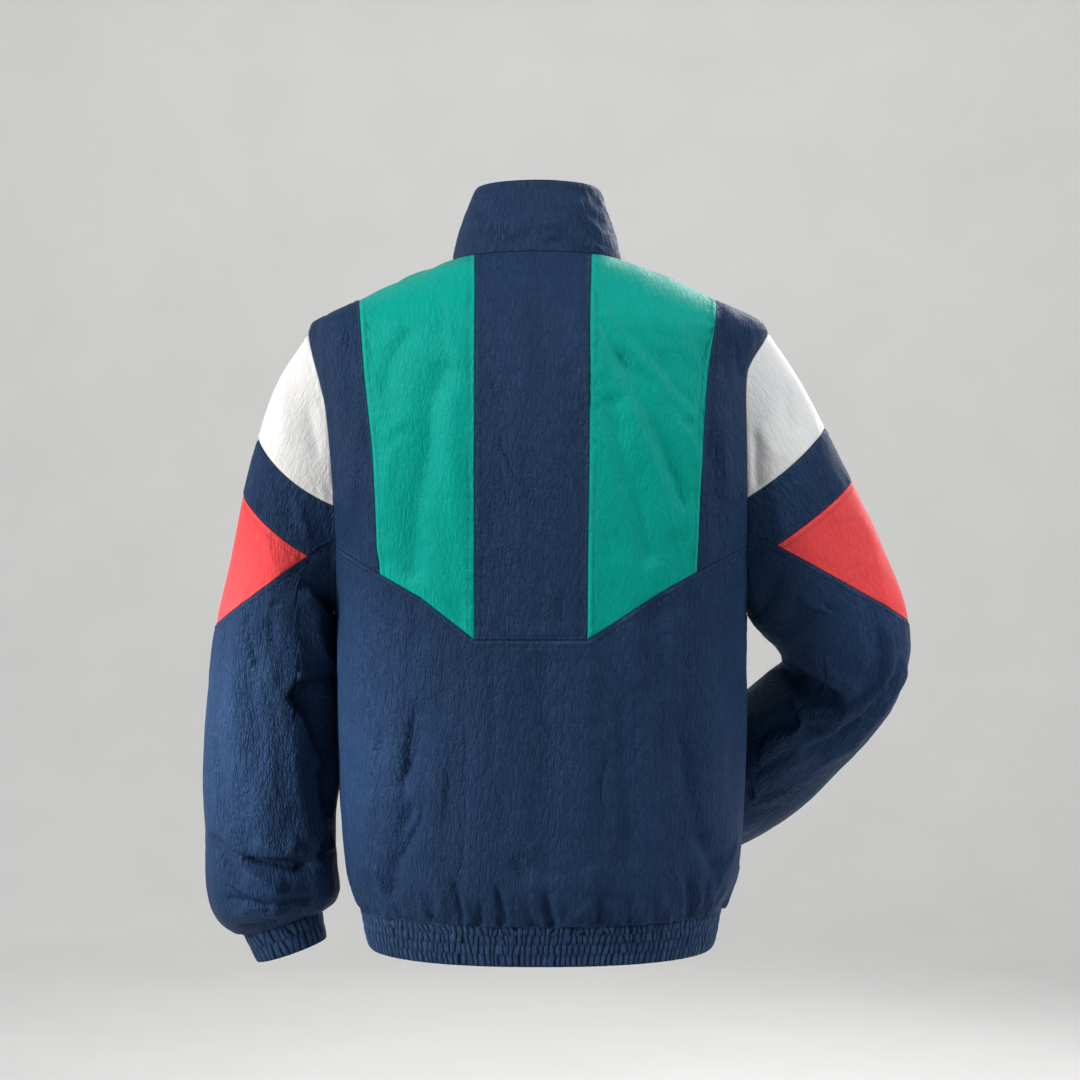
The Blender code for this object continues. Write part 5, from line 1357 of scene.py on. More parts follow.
def make_body():
    left, right = halves[LEFT], halves[RIGHT]
    neck = [ring_seam(left.inner_edge[0, 0], right.inner_edge[0, 0], 0.0)]
    ends = [(torso_point(*half.inner_edge[-1], BACK)[0], YOKE_CENTRE_Z) for half in (left, right)]
    centre_bottom = straight_seam(*ends, BACK)
    centre_bottom[0], centre_bottom[-1] = left.inner_edge[-1], right.inner_edge[-1]
    seams = around(NECK, Seam(0.60, stitches=(2.6,), reach=7.0), BESIDE_GREEN, BESIDE_GREEN)
    edges = (neck, [centre_bottom], [left.inner_edge], [right.inner_edge])
    torso_piece("back_centre", edges, BACK, seams, 40, "navy", ["collar", "back_lower"])
    for half in halves.values():
        green, front = "back_green_" + half.name, "front_" + half.name
        edge = Seam(0.85, stitches=(5.8,))
        seams = around(SHOULDER, PLAIN, edge, edge)
        edges = ([half.neck_green, half.shoulder_green], [half.yoke_inner, half.yoke_outer],
                 [half.inner_edge], [half.outer_edge])
        torso_piece(green, edges, BACK, seams, 50 + half.side, "green", ["collar", front],
                    soft=0.7, streaks=0.32)
        seams = around(SHOULDER, PLAIN, BESIDE_GREEN, ARM)
        edges = ([half.shoulder_strip], [half.yoke_strip], [half.outer_edge], [half.armhole_back])
        torso_piece("back_side_" + half.name, edges, BACK, seams, 60 + half.side, "navy", [front, green])
    top = [
        left.underarm_back[::-1], left.yoke_strip[::-1], left.yoke_outer[::-1], left.yoke_inner[::-1],
        centre_bottom,
        right.yoke_inner, right.yoke_outer, right.yoke_strip, right.underarm_back,
    ]
    hem = [ring_seam(RIGHT_ANGLE, -RIGHT_ANGLE, HEM_SEAM_Z)]
    seams = around(Seam(0.65, stitches=(6.3,), reach=7.0), HEM, PLAIN, PLAIN)
    torso_piece("back_lower", (top, hem, [left.side_seam], [right.side_seam]), BACK, seams, 70, "navy",
                ["back_centre", "back_green_left", "back_green_right"], (1.08, 1.02))
    for half in halves.values():
        hem = [ring_seam(half.front_edge[-1, 0], half.side * RIGHT_ANGLE, HEM_SEAM_Z)]
        edges = ([half.neck_front, half.shoulder_green, half.shoulder_strip], hem,
                 [half.front_edge], [half.armhole_front, half.side_seam])
        torso_piece("front_" + half.name, edges, FRONT, around(SHOULDER, HEM, BESIDE_ZIP, PLAIN),
                    80 + half.side, "navy", ["collar", "zip_tape_" + half.name], (1.06, 1.02))


# ---- the sleeves' pieces

SLEEVE_CREASES = {
    LEFT: (LEFT_SLEEVE_BACK, LEFT_SLEEVE_FRONT, LEFT_SLEEVE_FOLDS),
    RIGHT: (RIGHT_SLEEVE_BACK, RIGHT_SLEEVE_FRONT, RIGHT_SLEEVE_FOLDS),
}


def gap_to_body(points):
    """How far the left sleeve's points stand out from the body's widest line, less 1 mm."""
    level = points[..., 2]
    return points[..., 0] - TORSO("centre_x", level) - TRUNK("half_width", level) - 1.0 * MM


def angles_over(end, corners, closed=False):
    """Angles on both sides of the outer line, close together near the edges, with one at each corner."""
    girth = 2 * end * SLEEVE_RADIUS
    shares = shares_over(girth, SLEEVE_STEP, not closed, not closed)
    angles = -end + 2 * end * shares
    half = angles[angles > TINY]
    for corner in corners:
        half[int(np.argmin(np.abs(half - corner)))] = corner
    # The sleeve's front has half as many angles as its back.
    kept = (np.arange(len(half)) % 2 == 1) | np.isin(half, corners)
    kept[-3:] = True
    return np.concatenate([-half[kept][::-1], [0.0], half])


def cuff_gathers(side, angle, along):
    """The gathers above a cuff."""
    above = np.maximum(SLEEVE_END[side] - along, 0)
    round_sleeve = angle * 0.045
    wide = noise(round_sleeve / 0.013, above / 0.05, 0.5, 35 + side)
    close = rounded_ridges(noise(round_sleeve / 0.0055, above / 0.03, 1.5, 37 + side))
    overhang = np.exp(-above / 0.012) * (1 - bell(above, SEAM_DIP))
    return MM * (2.4 * wide * np.exp(-above / 0.016) + 1.5 * close * np.exp(-above / 0.010) + 1.5 * overhang)


def sleeve_piece(sleeve, name, end, top_of, bottom_of, seams, seed, colour, rests_on, corners=(),
                 streaks=1.0, soft=1.0, cut=(1.0, 1.0)):
    """A piece of a sleeve between two seams, as far round on each side of the outer line as end."""
    side = sleeve.side
    closed = end > 3.14
    angles = angles_over(end, corners, closed)
    size = np.abs(angles)
    top, bottom = top_of(size), bottom_of(size)
    rows = shares_over(float(np.max(bottom - top)), SLEEVE_STEP)[:, None]
    along = top + (bottom - top) * rows
    angle = np.broadcast_to(angles, along.shape)
    base = sleeve_point(side, angle, along)
    normals = plain_sleeve_normal(side, angle, along)
    grain = np.stack([angle * GRAIN_RADIUS, along], axis=-1)
    end_fade = 1 - bell(SLEEVE_END[side] - along, 0.006)
    large = hand_creases(base, normals, *SLEEVE_CREASES[side]) * (1 - bell(along, 0.012)) * end_fade
    large += cuff_gathers(side, angle, along) * end_fade
    small = crinkle(grain, seed, streaks, soft)
    inwards = smooth_step(0.35, 0.8, -side * normals[..., 0])
    near_body = (base[..., 2] < -0.20) & (base[..., 2] > -0.66)
    room = (3.2 - 2.6 * inwards) * MM
    lean_in = 0.0
    if side == LEFT:
        # Where the sleeve faces the back as well as the body, its folds may rise as far as the gap allows.
        facing_body = smooth_step(0.70, 0.96, -normals[..., 0])
        gap = gap_to_body(base)
        room = np.maximum(room, 0.6 * MM + np.clip(gap, 0, 14 * MM) * (1 - facing_body))
        # Below the arm the left sleeve leans in, so that it rests on the body's side.
        low = smooth_step(-0.330, -0.360, base[..., 2]) * smooth_step(-0.560, -0.500, base[..., 2])
        lean_in = np.clip(gap, 0, 7 * MM) * low * facing_body
    hug = np.where((inwards > 0) & near_body, room, 0.0)
    cloth("sleeve_" + SIDE_NAMES[side] + "_" + name, base, normals, grain, seams, large, small, colour,
          rests_on, closed, cut=cut, hug=hug, lean_in=lean_in)


RIB_SINK = 0.6 * MM
CUFF_RIBS = 34
CUFF_COLUMNS = 289
CUFF_ROWS = 21
CUFF_LINES = (0.0, 0.46, 1.0)


def cuff_piece(side):
    """The elastic cuff: rows of ribs between lines of elastic thread."""
    angles = np.linspace(-math.pi, math.pi, CUFF_COLUMNS)
    rows = np.linspace(0, 1, CUFF_ROWS)[:, None]
    angle, share = np.broadcast_arrays(angles, rows)
    base = cuff_point(side, angle, share)
    normals = grid_normals(base, base - base.mean(axis=1, keepdims=True))
    close_ring(normals)
    reached = length_of(base[CUFF_ROWS // 2])
    round_cuff = np.broadcast_to(reached, angle.shape)
    height, phase = ribs(round_cuff, share, reached[-1], CUFF_RIBS, CUFF_LINES, 1.5, 90 + side)
    name = "sleeve_" + SIDE_NAMES[side]
    band(name + "_cuff", base, normals, round_cuff, share, height, phase, True, 1.35, [name + "_lower"])


def ribs(round_band, share, girth, count, lines, height, seed):
    """Rounded ribs round an elastic band, in rows that the lines of thread pinch together."""
    lines = np.array(lines)
    row = np.clip(np.searchsorted(lines, share, side="right") - 1, 0, len(lines) - 2)
    within = (share - lines[row]) / (lines[row + 1] - lines[row])
    turn = round_band / girth * 2 * math.pi
    ahead, aside = np.cos(turn) * girth, np.sin(turn) * girth
    upper = np.clip(1 - row / 3, 0, 1)
    wander = noise(ahead / 0.045, aside / 0.045, row * 3.7, seed)
    wander = wander + 0.4 * noise(ahead / 0.016, aside / 0.016, row, 9)
    slant = (0.25 + 0.75 * upper) * noise(ahead / 0.055, aside / 0.055, row * 5.3, seed + 1) * (within - 0.5)
    phase = round_band / girth * count + 0.34 * wander + slant + 0.29 * row
    strength = 0.85 + 0.15 * noise(np.floor(phase), row * 1.0, 0.5, seed + 2)
    rib = np.abs(np.sin(math.pi * phase)) ** 0.55
    pinch = np.clip(np.sin(math.pi * within), 0, 1) ** 0.40
    return MM * height * (strength * rib * (0.62 + 0.38 * pinch) - 0.16 * (1 - pinch)), phase


def band(name, base, normals, round_band, share, height, phase, closed, cut, rests_on):
    """Makes an elastic band over its plain surface. cut says how much longer it is than it looks."""
    outer = base + normals * (height - RIB_SINK)[..., None]
    ways = grid_normals(outer, normals)
    if closed:
        close_ring(ways)
    across, down = longest(base)
    grain = np.stack([round_band, share * down], axis=-1)
    # The ribs' relief and phase go to the material, which paints the ribs lighter on top and the gaps between
    # them dark as shade.
    facts = {"seam_distance": share * 0 + NO_SEAM, "relief": height / MM, "phase": phase}
    smooth_ways = unit(normals + 0.35 * ways)
    piece = shell(name + "_cloth", outer, smooth_ways, BAND_WALL - RIB_SINK, grain, facts, closed, rim=2)
    width, length = across * cut, down
    lay(piece, name, (width, length), "gathered", rests_on, width * length * 0.999, "rib")


WAISTBAND_RIBS = 166
WAISTBAND_COLUMNS = 8 * WAISTBAND_RIBS + 1
WAISTBAND_ROWS = 22
WAISTBAND_LINES = (0.0, 0.20, 0.43, 0.70, 1.0)


def make_waistband():
    """The elastic waistband, from one side of the zip round the back to the other."""
    start, end = (
        float(lean_at(TORSO("centre_x", HEM_SEAM_Z) + side * FRONT_EDGE, HEM_SEAM_Z, FRONT))
        for side in (LEFT, RIGHT)
    )
    stretches = [
        (np.linspace(start, RIGHT_ANGLE, 400), FRONT),
        (np.linspace(RIGHT_ANGLE, -RIGHT_ANGLE, 900), BACK),
        (np.linspace(-RIGHT_ANGLE, end, 400), FRONT),
    ]

    def ring(height, wave):
        parts = []
        for lean, face in stretches:
            level = np.full(len(lean), height)
            level = level + wave * hem_wave(torso_point(lean, level, face), level)
            parts.append(torso_point(lean, level, face))
        return joined(*parts)

    reached = length_of(ring(HEM_SEAM_Z, 0))
    wanted = np.linspace(0, reached[-1], WAISTBAND_COLUMNS)
    shares = np.linspace(0, 1, WAISTBAND_ROWS)
    base = np.array([
        read_at(wanted, reached, ring(HEM_SEAM_Z + (HEM_Z - HEM_SEAM_Z) * share, 1)) for share in shares
    ])
    normals = grid_normals(base, base * np.array([1, 1, 0]))
    share, round_band = np.broadcast_arrays(shares[:, None], wanted)
    height, phase = ribs(round_band, share, reached[-1], WAISTBAND_RIBS, WAISTBAND_LINES, 1.6, 95)
    band("waistband", base, normals, round_band, share, height, phase, False, 1.30,
         ["back_lower", "front_left", "front_right"])


def make_sleeves():
    topstitched = Seam(0.60, stitches=(6.2,), reach=7.0)
    at_armhole = Seam(0.70, reach=7.0)
    above_cuff = Seam(0.60, reach=5.0, drawn=False)
    for side, sleeve in sleeves.items():
        name = "sleeve_" + SIDE_NAMES[side]
        seams = around(at_armhole, PLAIN, at_armhole, at_armhole)
        sleeve_piece(sleeve, "cap", sleeve.cap_end, np.zeros_like, sleeve.cap_bottom, seams, 110 + side,
                     "white", ["back_side_" + SIDE_NAMES[side]], streaks=0.22, soft=0.55)
        seams = around(PLAIN, PLAIN, at_armhole, at_armhole)
        sleeve_piece(sleeve, "band", sleeve.band_end, sleeve.cap_bottom, sleeve.band_bottom, seams,
                     120 + side, "navy", [name + "_cap"], (sleeve.tip_angle, sleeve.cap_end))
        seams = around(topstitched, PLAIN, None, None)
        sleeve_piece(sleeve, "red", sleeve.tip_angle, sleeve.red_top, sleeve.lower_top, seams, 130 + side,
                     "red", [name + "_band"], streaks=0.25, soft=0.5)
        seams = {"top": topstitched, "bottom": above_cuff}
        sleeve_piece(sleeve, "lower", math.pi, sleeve.lower_top, sleeve.end, seams, 140 + side, "navy",
                     [name + "_red", name + "_band"], (sleeve.tip_angle, sleeve.band_end),
                     cut=(1.10, 1.02), soft=1.15)
        cuff_piece(side)


# ---- the collar

COLLAR_CREASES = [
    (-1.3, 3, 62, -52, 48, -22, 36, -4), (1.2, 3, 56, -18, 44, -34, 40, -50),
    (1.6, 6, 38, -26, 30, -18, 22, -14), (-1, 3, 20, -8, 10, -20, 6, -34),
    (-0.9, 3.5, 66, -40, 64, -20, 60, -2), (1, 3, 8, -6, -4, -14, -20, -16),
    (-0.9, 3, -10, -6, -22, -12, -30, -26), (1.2, 3, -34, -60, -44, -44, -60, -36),
    (-1.4, 3, -38, -54, -50, -40, -64, -30), (1.5, 3.2, -40, -40, -54, -26, -66, -18),
    (-1.6, 3.2, -36, -30, -50, -16, -66, -6), (1.3, 3, -46, -16, -58, -4, -66, 4),
    (-1.2, 2.6, -52, -62, -56, -50, -60, -44), (1, 5, 30, -62, 14, -56, 0, -58),
]
COLLAR_FRONT_CREASES = [
    (-1.2, 4, 12, -22, 26, -4, 40, 6), (1.2, 4, 30, -40, 40, -22, 52, -12),
    (-1.2, 3.5, 48, -46, 56, -30, 64, -18), (-1.2, 4, -12, -16, -24, 0, -36, 10),
    (1.2, 4, -28, -36, -38, -18, -50, -10), (-1.2, 3.5, -46, -44, -56, -26, -62, -14),
]


COLLAR_STEP = 0.0024
COLLAR_HEIGHT = 0.075
COLLAR_GRAIN_HEIGHT = 0.073


def make_collar():
    left, right = halves[LEFT], halves[RIGHT]
    neck = ring_seam(left.inner_edge[0, 0], right.inner_edge[0, 0], 0.0)
    stretches = [
        (left.neck_front, FRONT), (left.neck_green[::-1], BACK), (neck, BACK), (right.neck_green, BACK),
        (right.neck_front[::-1], FRONT),
    ]
    base_line, turns = [], []
    for seam, face in stretches:
        points = torso_point(seam[:, 0], seam[:, 1], face)
        if face == BACK:
            turn = seam[:, 0]
        else:
            share = length_of(points) / length_of(points)[-1]
            side = LEFT if not turns else RIGHT
            turn = math.pi - share * RIGHT_ANGLE if side == LEFT else -(RIGHT_ANGLE + share * RIGHT_ANGLE)
        skip = 1 if turns else 0
        base_line.append(points[skip:])
        turns.append(turn[skip:])
    base_line, turns = np.concatenate(base_line), np.concatenate(turns)
    reached = length_of(base_line)
    wanted = reached[-1] * shares_over(reached[-1], COLLAR_STEP)
    foot = read_at(wanted, reached, base_line)
    turn = np.interp(wanted, reached, turns)
    top = collar_top_point(turn)
    share = shares_over(COLLAR_HEIGHT, COLLAR_STEP)[:, None, None]
    out = np.stack([np.sin(turn), np.cos(turn), np.zeros_like(turn)], axis=-1)
    base = top + (foot - top) * share + COLLAR_BULGE * np.sin(math.pi * share) * out
    normals = grid_normals(base, out)
    middle = reached[-1] / 2
    grain = np.stack(np.broadcast_arrays(wanted - middle, share[..., 0] * COLLAR_GRAIN_HEIGHT), axis=-1)
    fade = smooth_step(0.0, 0.12, share[..., 0])
    right_back = smooth_step(0.02, 0.06, -base[..., 0]) * smooth_step(-0.2, 0.2, normals[..., 1])
    crumple = rounded_ridges(noise(grain[..., 0] / 0.0075, grain[..., 1] / 0.0085, 0.5, 150))
    large = hand_creases(base, normals, COLLAR_CREASES, COLLAR_FRONT_CREASES, ())
    large += 0.75 * MM * crumple * (0.25 + 0.75 * right_back)
    large *= fade
    small = 0.9 * crinkle(grain[..., ::-1] * np.array([1.0, 1.6]), 151, 0.8, 0.8)
    edge = Seam(0.0, puffs=False)
    seams = around(Seam(0.22, stitches=(7.5,), reach=7.0, groove=0.35), Seam(0.75, still=0.006), edge, edge)
    cloth("collar", base, normals, grain, seams, large, small, "navy", ["back_centre"],
          wall=COLLAR_WALL, rim=3)


# ---- the zip

COLLAR_ZIP_ROWS = 16


def zip_lines(offsets):
    """The surface beside the zip on lines at the offsets, from the waistband's lower edge to the top."""
    heights = joined(np.linspace(HEM_Z, HEM_SEAM_Z, 13), np.linspace(HEM_SEAM_Z, -NECK_FRONT_DROP, 200))
    height, offset = np.broadcast_arrays(heights[:, None], offsets)
    leans = lean_at(TORSO("centre_x", height) + offset, height, FRONT)
    points, normals = torso_point(leans, height, FRONT), torso_normal(leans, height, FRONT)
    share = np.linspace(1, 0, COLLAR_ZIP_ROWS + 1)[1:, None, None]
    x, z = TORSO("centre_x", 0.0) + offsets, np.full(len(offsets), COLLAR_FRONT_TOP)
    y = -COLLAR_TOP_HALF_DEPTH * np.sqrt(1 - (offsets / COLLAR_TOP_HALF_WIDTH) ** 2)
    top = np.stack([x, y, z], axis=-1)
    ahead = np.array([0.0, -1.0, 0.0])
    collar = top + (points[-1] - top) * share + COLLAR_BULGE * np.sin(math.pi * share) * ahead
    points = np.concatenate([points, collar])
    return points, grid_normals(points, np.concatenate([normals, np.broadcast_to(ahead, collar.shape)]))


def make_tapes():
    """The two woven tapes that carry the zip, inside the fronts' edges."""
    for side in (LEFT, RIGHT):
        offsets = np.sort(side * np.linspace(0.0008, TAPE_HALF_WIDTH, 9))
        points, normals = zip_lines(offsets)
        base = points - normals * TAPE_DEPTH
        along = length_of(points[:, 0])
        grain = np.stack(np.broadcast_arrays(offsets, along[:, None]), axis=-1)
        name = "zip_tape_" + SIDE_NAMES[side]
        flat = np.zeros(base.shape[:2])
        facts = {"seam_distance": flat + NO_SEAM, "relief": flat}
        piece = shell(name + "_cloth", base, normals, TAPE_WALL, grain, facts, rim=1)
        across, down = longest(base)
        lay(piece, name, (across, down), "hung", ["front_" + SIDE_NAMES[side]], across * down * 0.99, "tape")


def copies(name, shape, places, frames):
    """One mesh of a small shape repeated at places, turned and sized by a 3 by 3 frame at each."""
    shape_points, shape_faces = shape
    points = np.einsum("nij,vj->nvi", frames, shape_points) + places[:, None]
    offsets = np.arange(len(places))[:, None] * len(shape_points)
    faces = [tuple(copy) for face in shape_faces for copy in (offsets + np.array(face)).tolist()]
    piece = add_object(name, points.reshape(-1, 3).tolist(), faces)
    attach(piece, "jacket")
    return piece


def capsule(sides=6, steps=(-1.0, -0.82, -0.4, 0.4, 0.82, 1.0)):
    """A rounded bar along x, from -1 to 1, with a radius of 1."""
    rings = [(x, math.sqrt(max(0.0, 1 - max(0.0, (abs(x) - 0.4) / 0.6) ** 2))) for x in steps]
    points = [(rings[0][0], 0.0, 0.0)]
    for x, radius in rings[1:-1]:
        for k in range(sides):
            turn = 2 * math.pi * k / sides
            points.append((x, radius * math.cos(turn), radius * math.sin(turn)))
    points.append((rings[-1][0], 0.0, 0.0))
    faces = [(0, 1 + (k + 1) % sides, 1 + k) for k in range(sides)]
    for ring in range(len(rings) - 3):
        a, b = 1 + ring * sides, 1 + (ring + 1) * sides
        faces += [(a + k, a + (k + 1) % sides, b + (k + 1) % sides, b + k) for k in range(sides)]
    end, a = len(points) - 1, 1 + (len(rings) - 3) * sides
    faces += [(end, a + k, a + (k + 1) % sides) for k in range(sides)]
    return np.array(points), faces


TOOTH_PITCH = 1.5 * MM


def make_teeth():
    """The coil's teeth: rounded bars that reach across the middle from the left and the right in turn."""
    points, normals = zip_lines(np.array([-0.0026, 0.0, 0.0026]))
    line, out = points[:, 1], normals[:, 1]
    reached = length_of(line)
    wanted = np.arange(0.8 * MM, reached[-1] - 1.0 * MM, TOOTH_PITCH / 2)
    place, out = read_at(wanted, reached, line), unit(read_at(wanted, reached, out))
    up = unit(np.gradient(place, axis=0))
    across = unit(np.cross(up, out))
    turn = np.where(np.arange(len(wanted)) % 2 == 0, 1.0, -1.0)[:, None]
    place = place + across * turn * 0.75 * MM - out * 0.35 * MM
    frames = np.stack([across * 1.75 * MM, up * 0.42 * MM, out * 0.55 * MM], axis=-1)
    piece = copies("zip_coil_teeth", capsule(), place, frames)
    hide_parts("zip_chain")
    return piece


# ---- stitches

STITCH_EVERY = 3.1 * MM
STITCH_REACH = 1.2 * MM


def make_stitches():
    """Stitches along the kept lines, one mesh to each colour of thread."""
    made = {}
    shape = capsule(5, (-1.0, -0.6, 0.6, 1.0))
    for colour in sorted({entry[2] for entry in STITCH_LINES}):
        places, frames = [], []
        for line, up, kind in STITCH_LINES:
            if kind != colour or len(line) < 3:
                continue
            reached = length_of(line)
            wanted = np.arange(STITCH_EVERY, reached[-1] - STITCH_EVERY / 2, STITCH_EVERY)
            if len(wanted) < 2:
                continue
            ahead, behind = (read_at(wanted + step, reached, line) for step in (STITCH_REACH, -STITCH_REACH))
            way = unit(read_at(wanted, reached, up))
            run = unit(ahead - behind)
            side = unit(np.cross(way, run))
            at = read_at(wanted, reached, line)
            places.append((ahead + behind) / 2 * 0.5 + at * 0.5 + way * 0.10 * MM)
            frames.append(np.stack([run * 1.15 * MM, side * 0.24 * MM, way * 0.22 * MM], axis=-1))
        made[colour] = copies("stitching_" + colour, shape, np.concatenate(places), np.concatenate(frames))
    return made


# ---- materials


class Graph:
    """A short way to write a material's nodes."""

    def __init__(self, name):
        self.material = bpy.data.materials.new(name)
        self.material.use_nodes = True
        self.tree = self.material.node_tree
        self.shader = self.tree.nodes["Principled BSDF"]

    def node(self, kind, values=(), **settings):
        made = self.tree.nodes.new(kind)
        for key, value in settings.items():
            setattr(made, key, value)
        for key, value in dict(values).items():
            self.feed(made.inputs[key], value)
        return made

    def feed(self, socket, value):
        if isinstance(value, bpy.types.NodeSocket):
            self.tree.links.new(value, socket)
        else:
            socket.default_value = value

    def math(self, operation, a, b=0.0, c=0.0, clamp=False):
        made = self.node("ShaderNodeMath", {0: a, 1: b, 2: c}, operation=operation)
        made.use_clamp = clamp
        return made.outputs[0]

    def times(self, a, b):
        return self.math("MULTIPLY", a, b)

    def plus(self, a, b):
        return self.math("ADD", a, b)

    def less(self, a, b):
        return self.math("SUBTRACT", a, b)

    def set(self, name, value):
        self.feed(self.shader.inputs[name], value)

    def attribute(self, name):
        return self.node("ShaderNodeAttribute", attribute_name=name).outputs["Fac"]

    def place(self):
        return self.node("ShaderNodeNewGeometry").outputs["Position"]

    def mix(self, share, a, b):
        made = self.node("ShaderNodeMix", data_type="RGBA")
        for index, value in ((0, share), (6, a), (7, b)):
            self.feed(made.inputs[index], (*value, 1) if isinstance(value, tuple) else value)
        return made.outputs[2]

    def noise(self, vector, scale, detail=2.0, roughness=0.5, distortion=0.0):
        made = self.node("ShaderNodeTexNoise", {"Vector": vector, "Scale": scale, "Detail": detail,
                                                "Roughness": roughness, "Distortion": distortion})
        return made.outputs["Fac"]

    def span(self, value, low, high, to_low=0.0, to_high=1.0):
        made = self.node("ShaderNodeMapRange", {"Value": value, "From Min": low, "From Max": high,
                                                "To Min": to_low, "To Max": to_high})
        return made.outputs["Result"]

    def bump(self, height, distance, normal=None):
        values = {"Height": height, "Distance": distance}
        if normal is not None:
            values["Normal"] = normal
        return self.node("ShaderNodeBump", values).outputs["Normal"]


def stretched(graph, across, along):
    """The grain's own coordinates in metres, multiplied across and along."""
    uv = graph.node("ShaderNodeUVMap", uv_map="grain").outputs["UV"]
    made = graph.node("ShaderNodeVectorMath", {0: uv, 1: (across, along, 1.0)}, operation="MULTIPLY")
    return made.outputs["Vector"]


def furrows(graph, vector, scale, detail=1.0, distortion=0.6):
    """Narrow irregular furrows: 0 in a furrow and 1 between them."""
    value = graph.noise(vector, scale, detail, 0.5, distortion)
    away = graph.math("ABSOLUTE", graph.less(value, 0.5))
    return graph.span(away, 0.0, 0.11)


def leaning(graph, turn, stretch):
    """The grain's coordinates, drawn out by a number of times in a direction turned from the grain."""
    uv = graph.node("ShaderNodeUVMap", uv_map="grain").outputs["UV"]
    values = {"Vector": uv, "Rotation": (0.0, 0.0, math.radians(turn)), "Scale": (1.0, stretch, 1.0)}
    return graph.node("ShaderNodeMapping", values, vector_type="TEXTURE").outputs["Vector"]


def crumpled(graph, vector, scale, wander):
    """Cells of crumpled cloth: 0 on the creases between them, and rising towards their middles."""
    drift = graph.node("ShaderNodeTexNoise", {"Vector": vector, "Scale": 0.6 * scale, "Detail": 1.0})
    values = {0: drift.outputs["Color"], 1: (wander, wander, wander), 2: vector}
    place = graph.node("ShaderNodeVectorMath", values, operation="MULTIPLY_ADD").outputs["Vector"]
    values = {"Vector": place, "Scale": scale}
    cells = graph.node("ShaderNodeTexVoronoi", values, feature="DISTANCE_TO_EDGE", voronoi_dimensions="2D")
    return cells.outputs["Distance"]


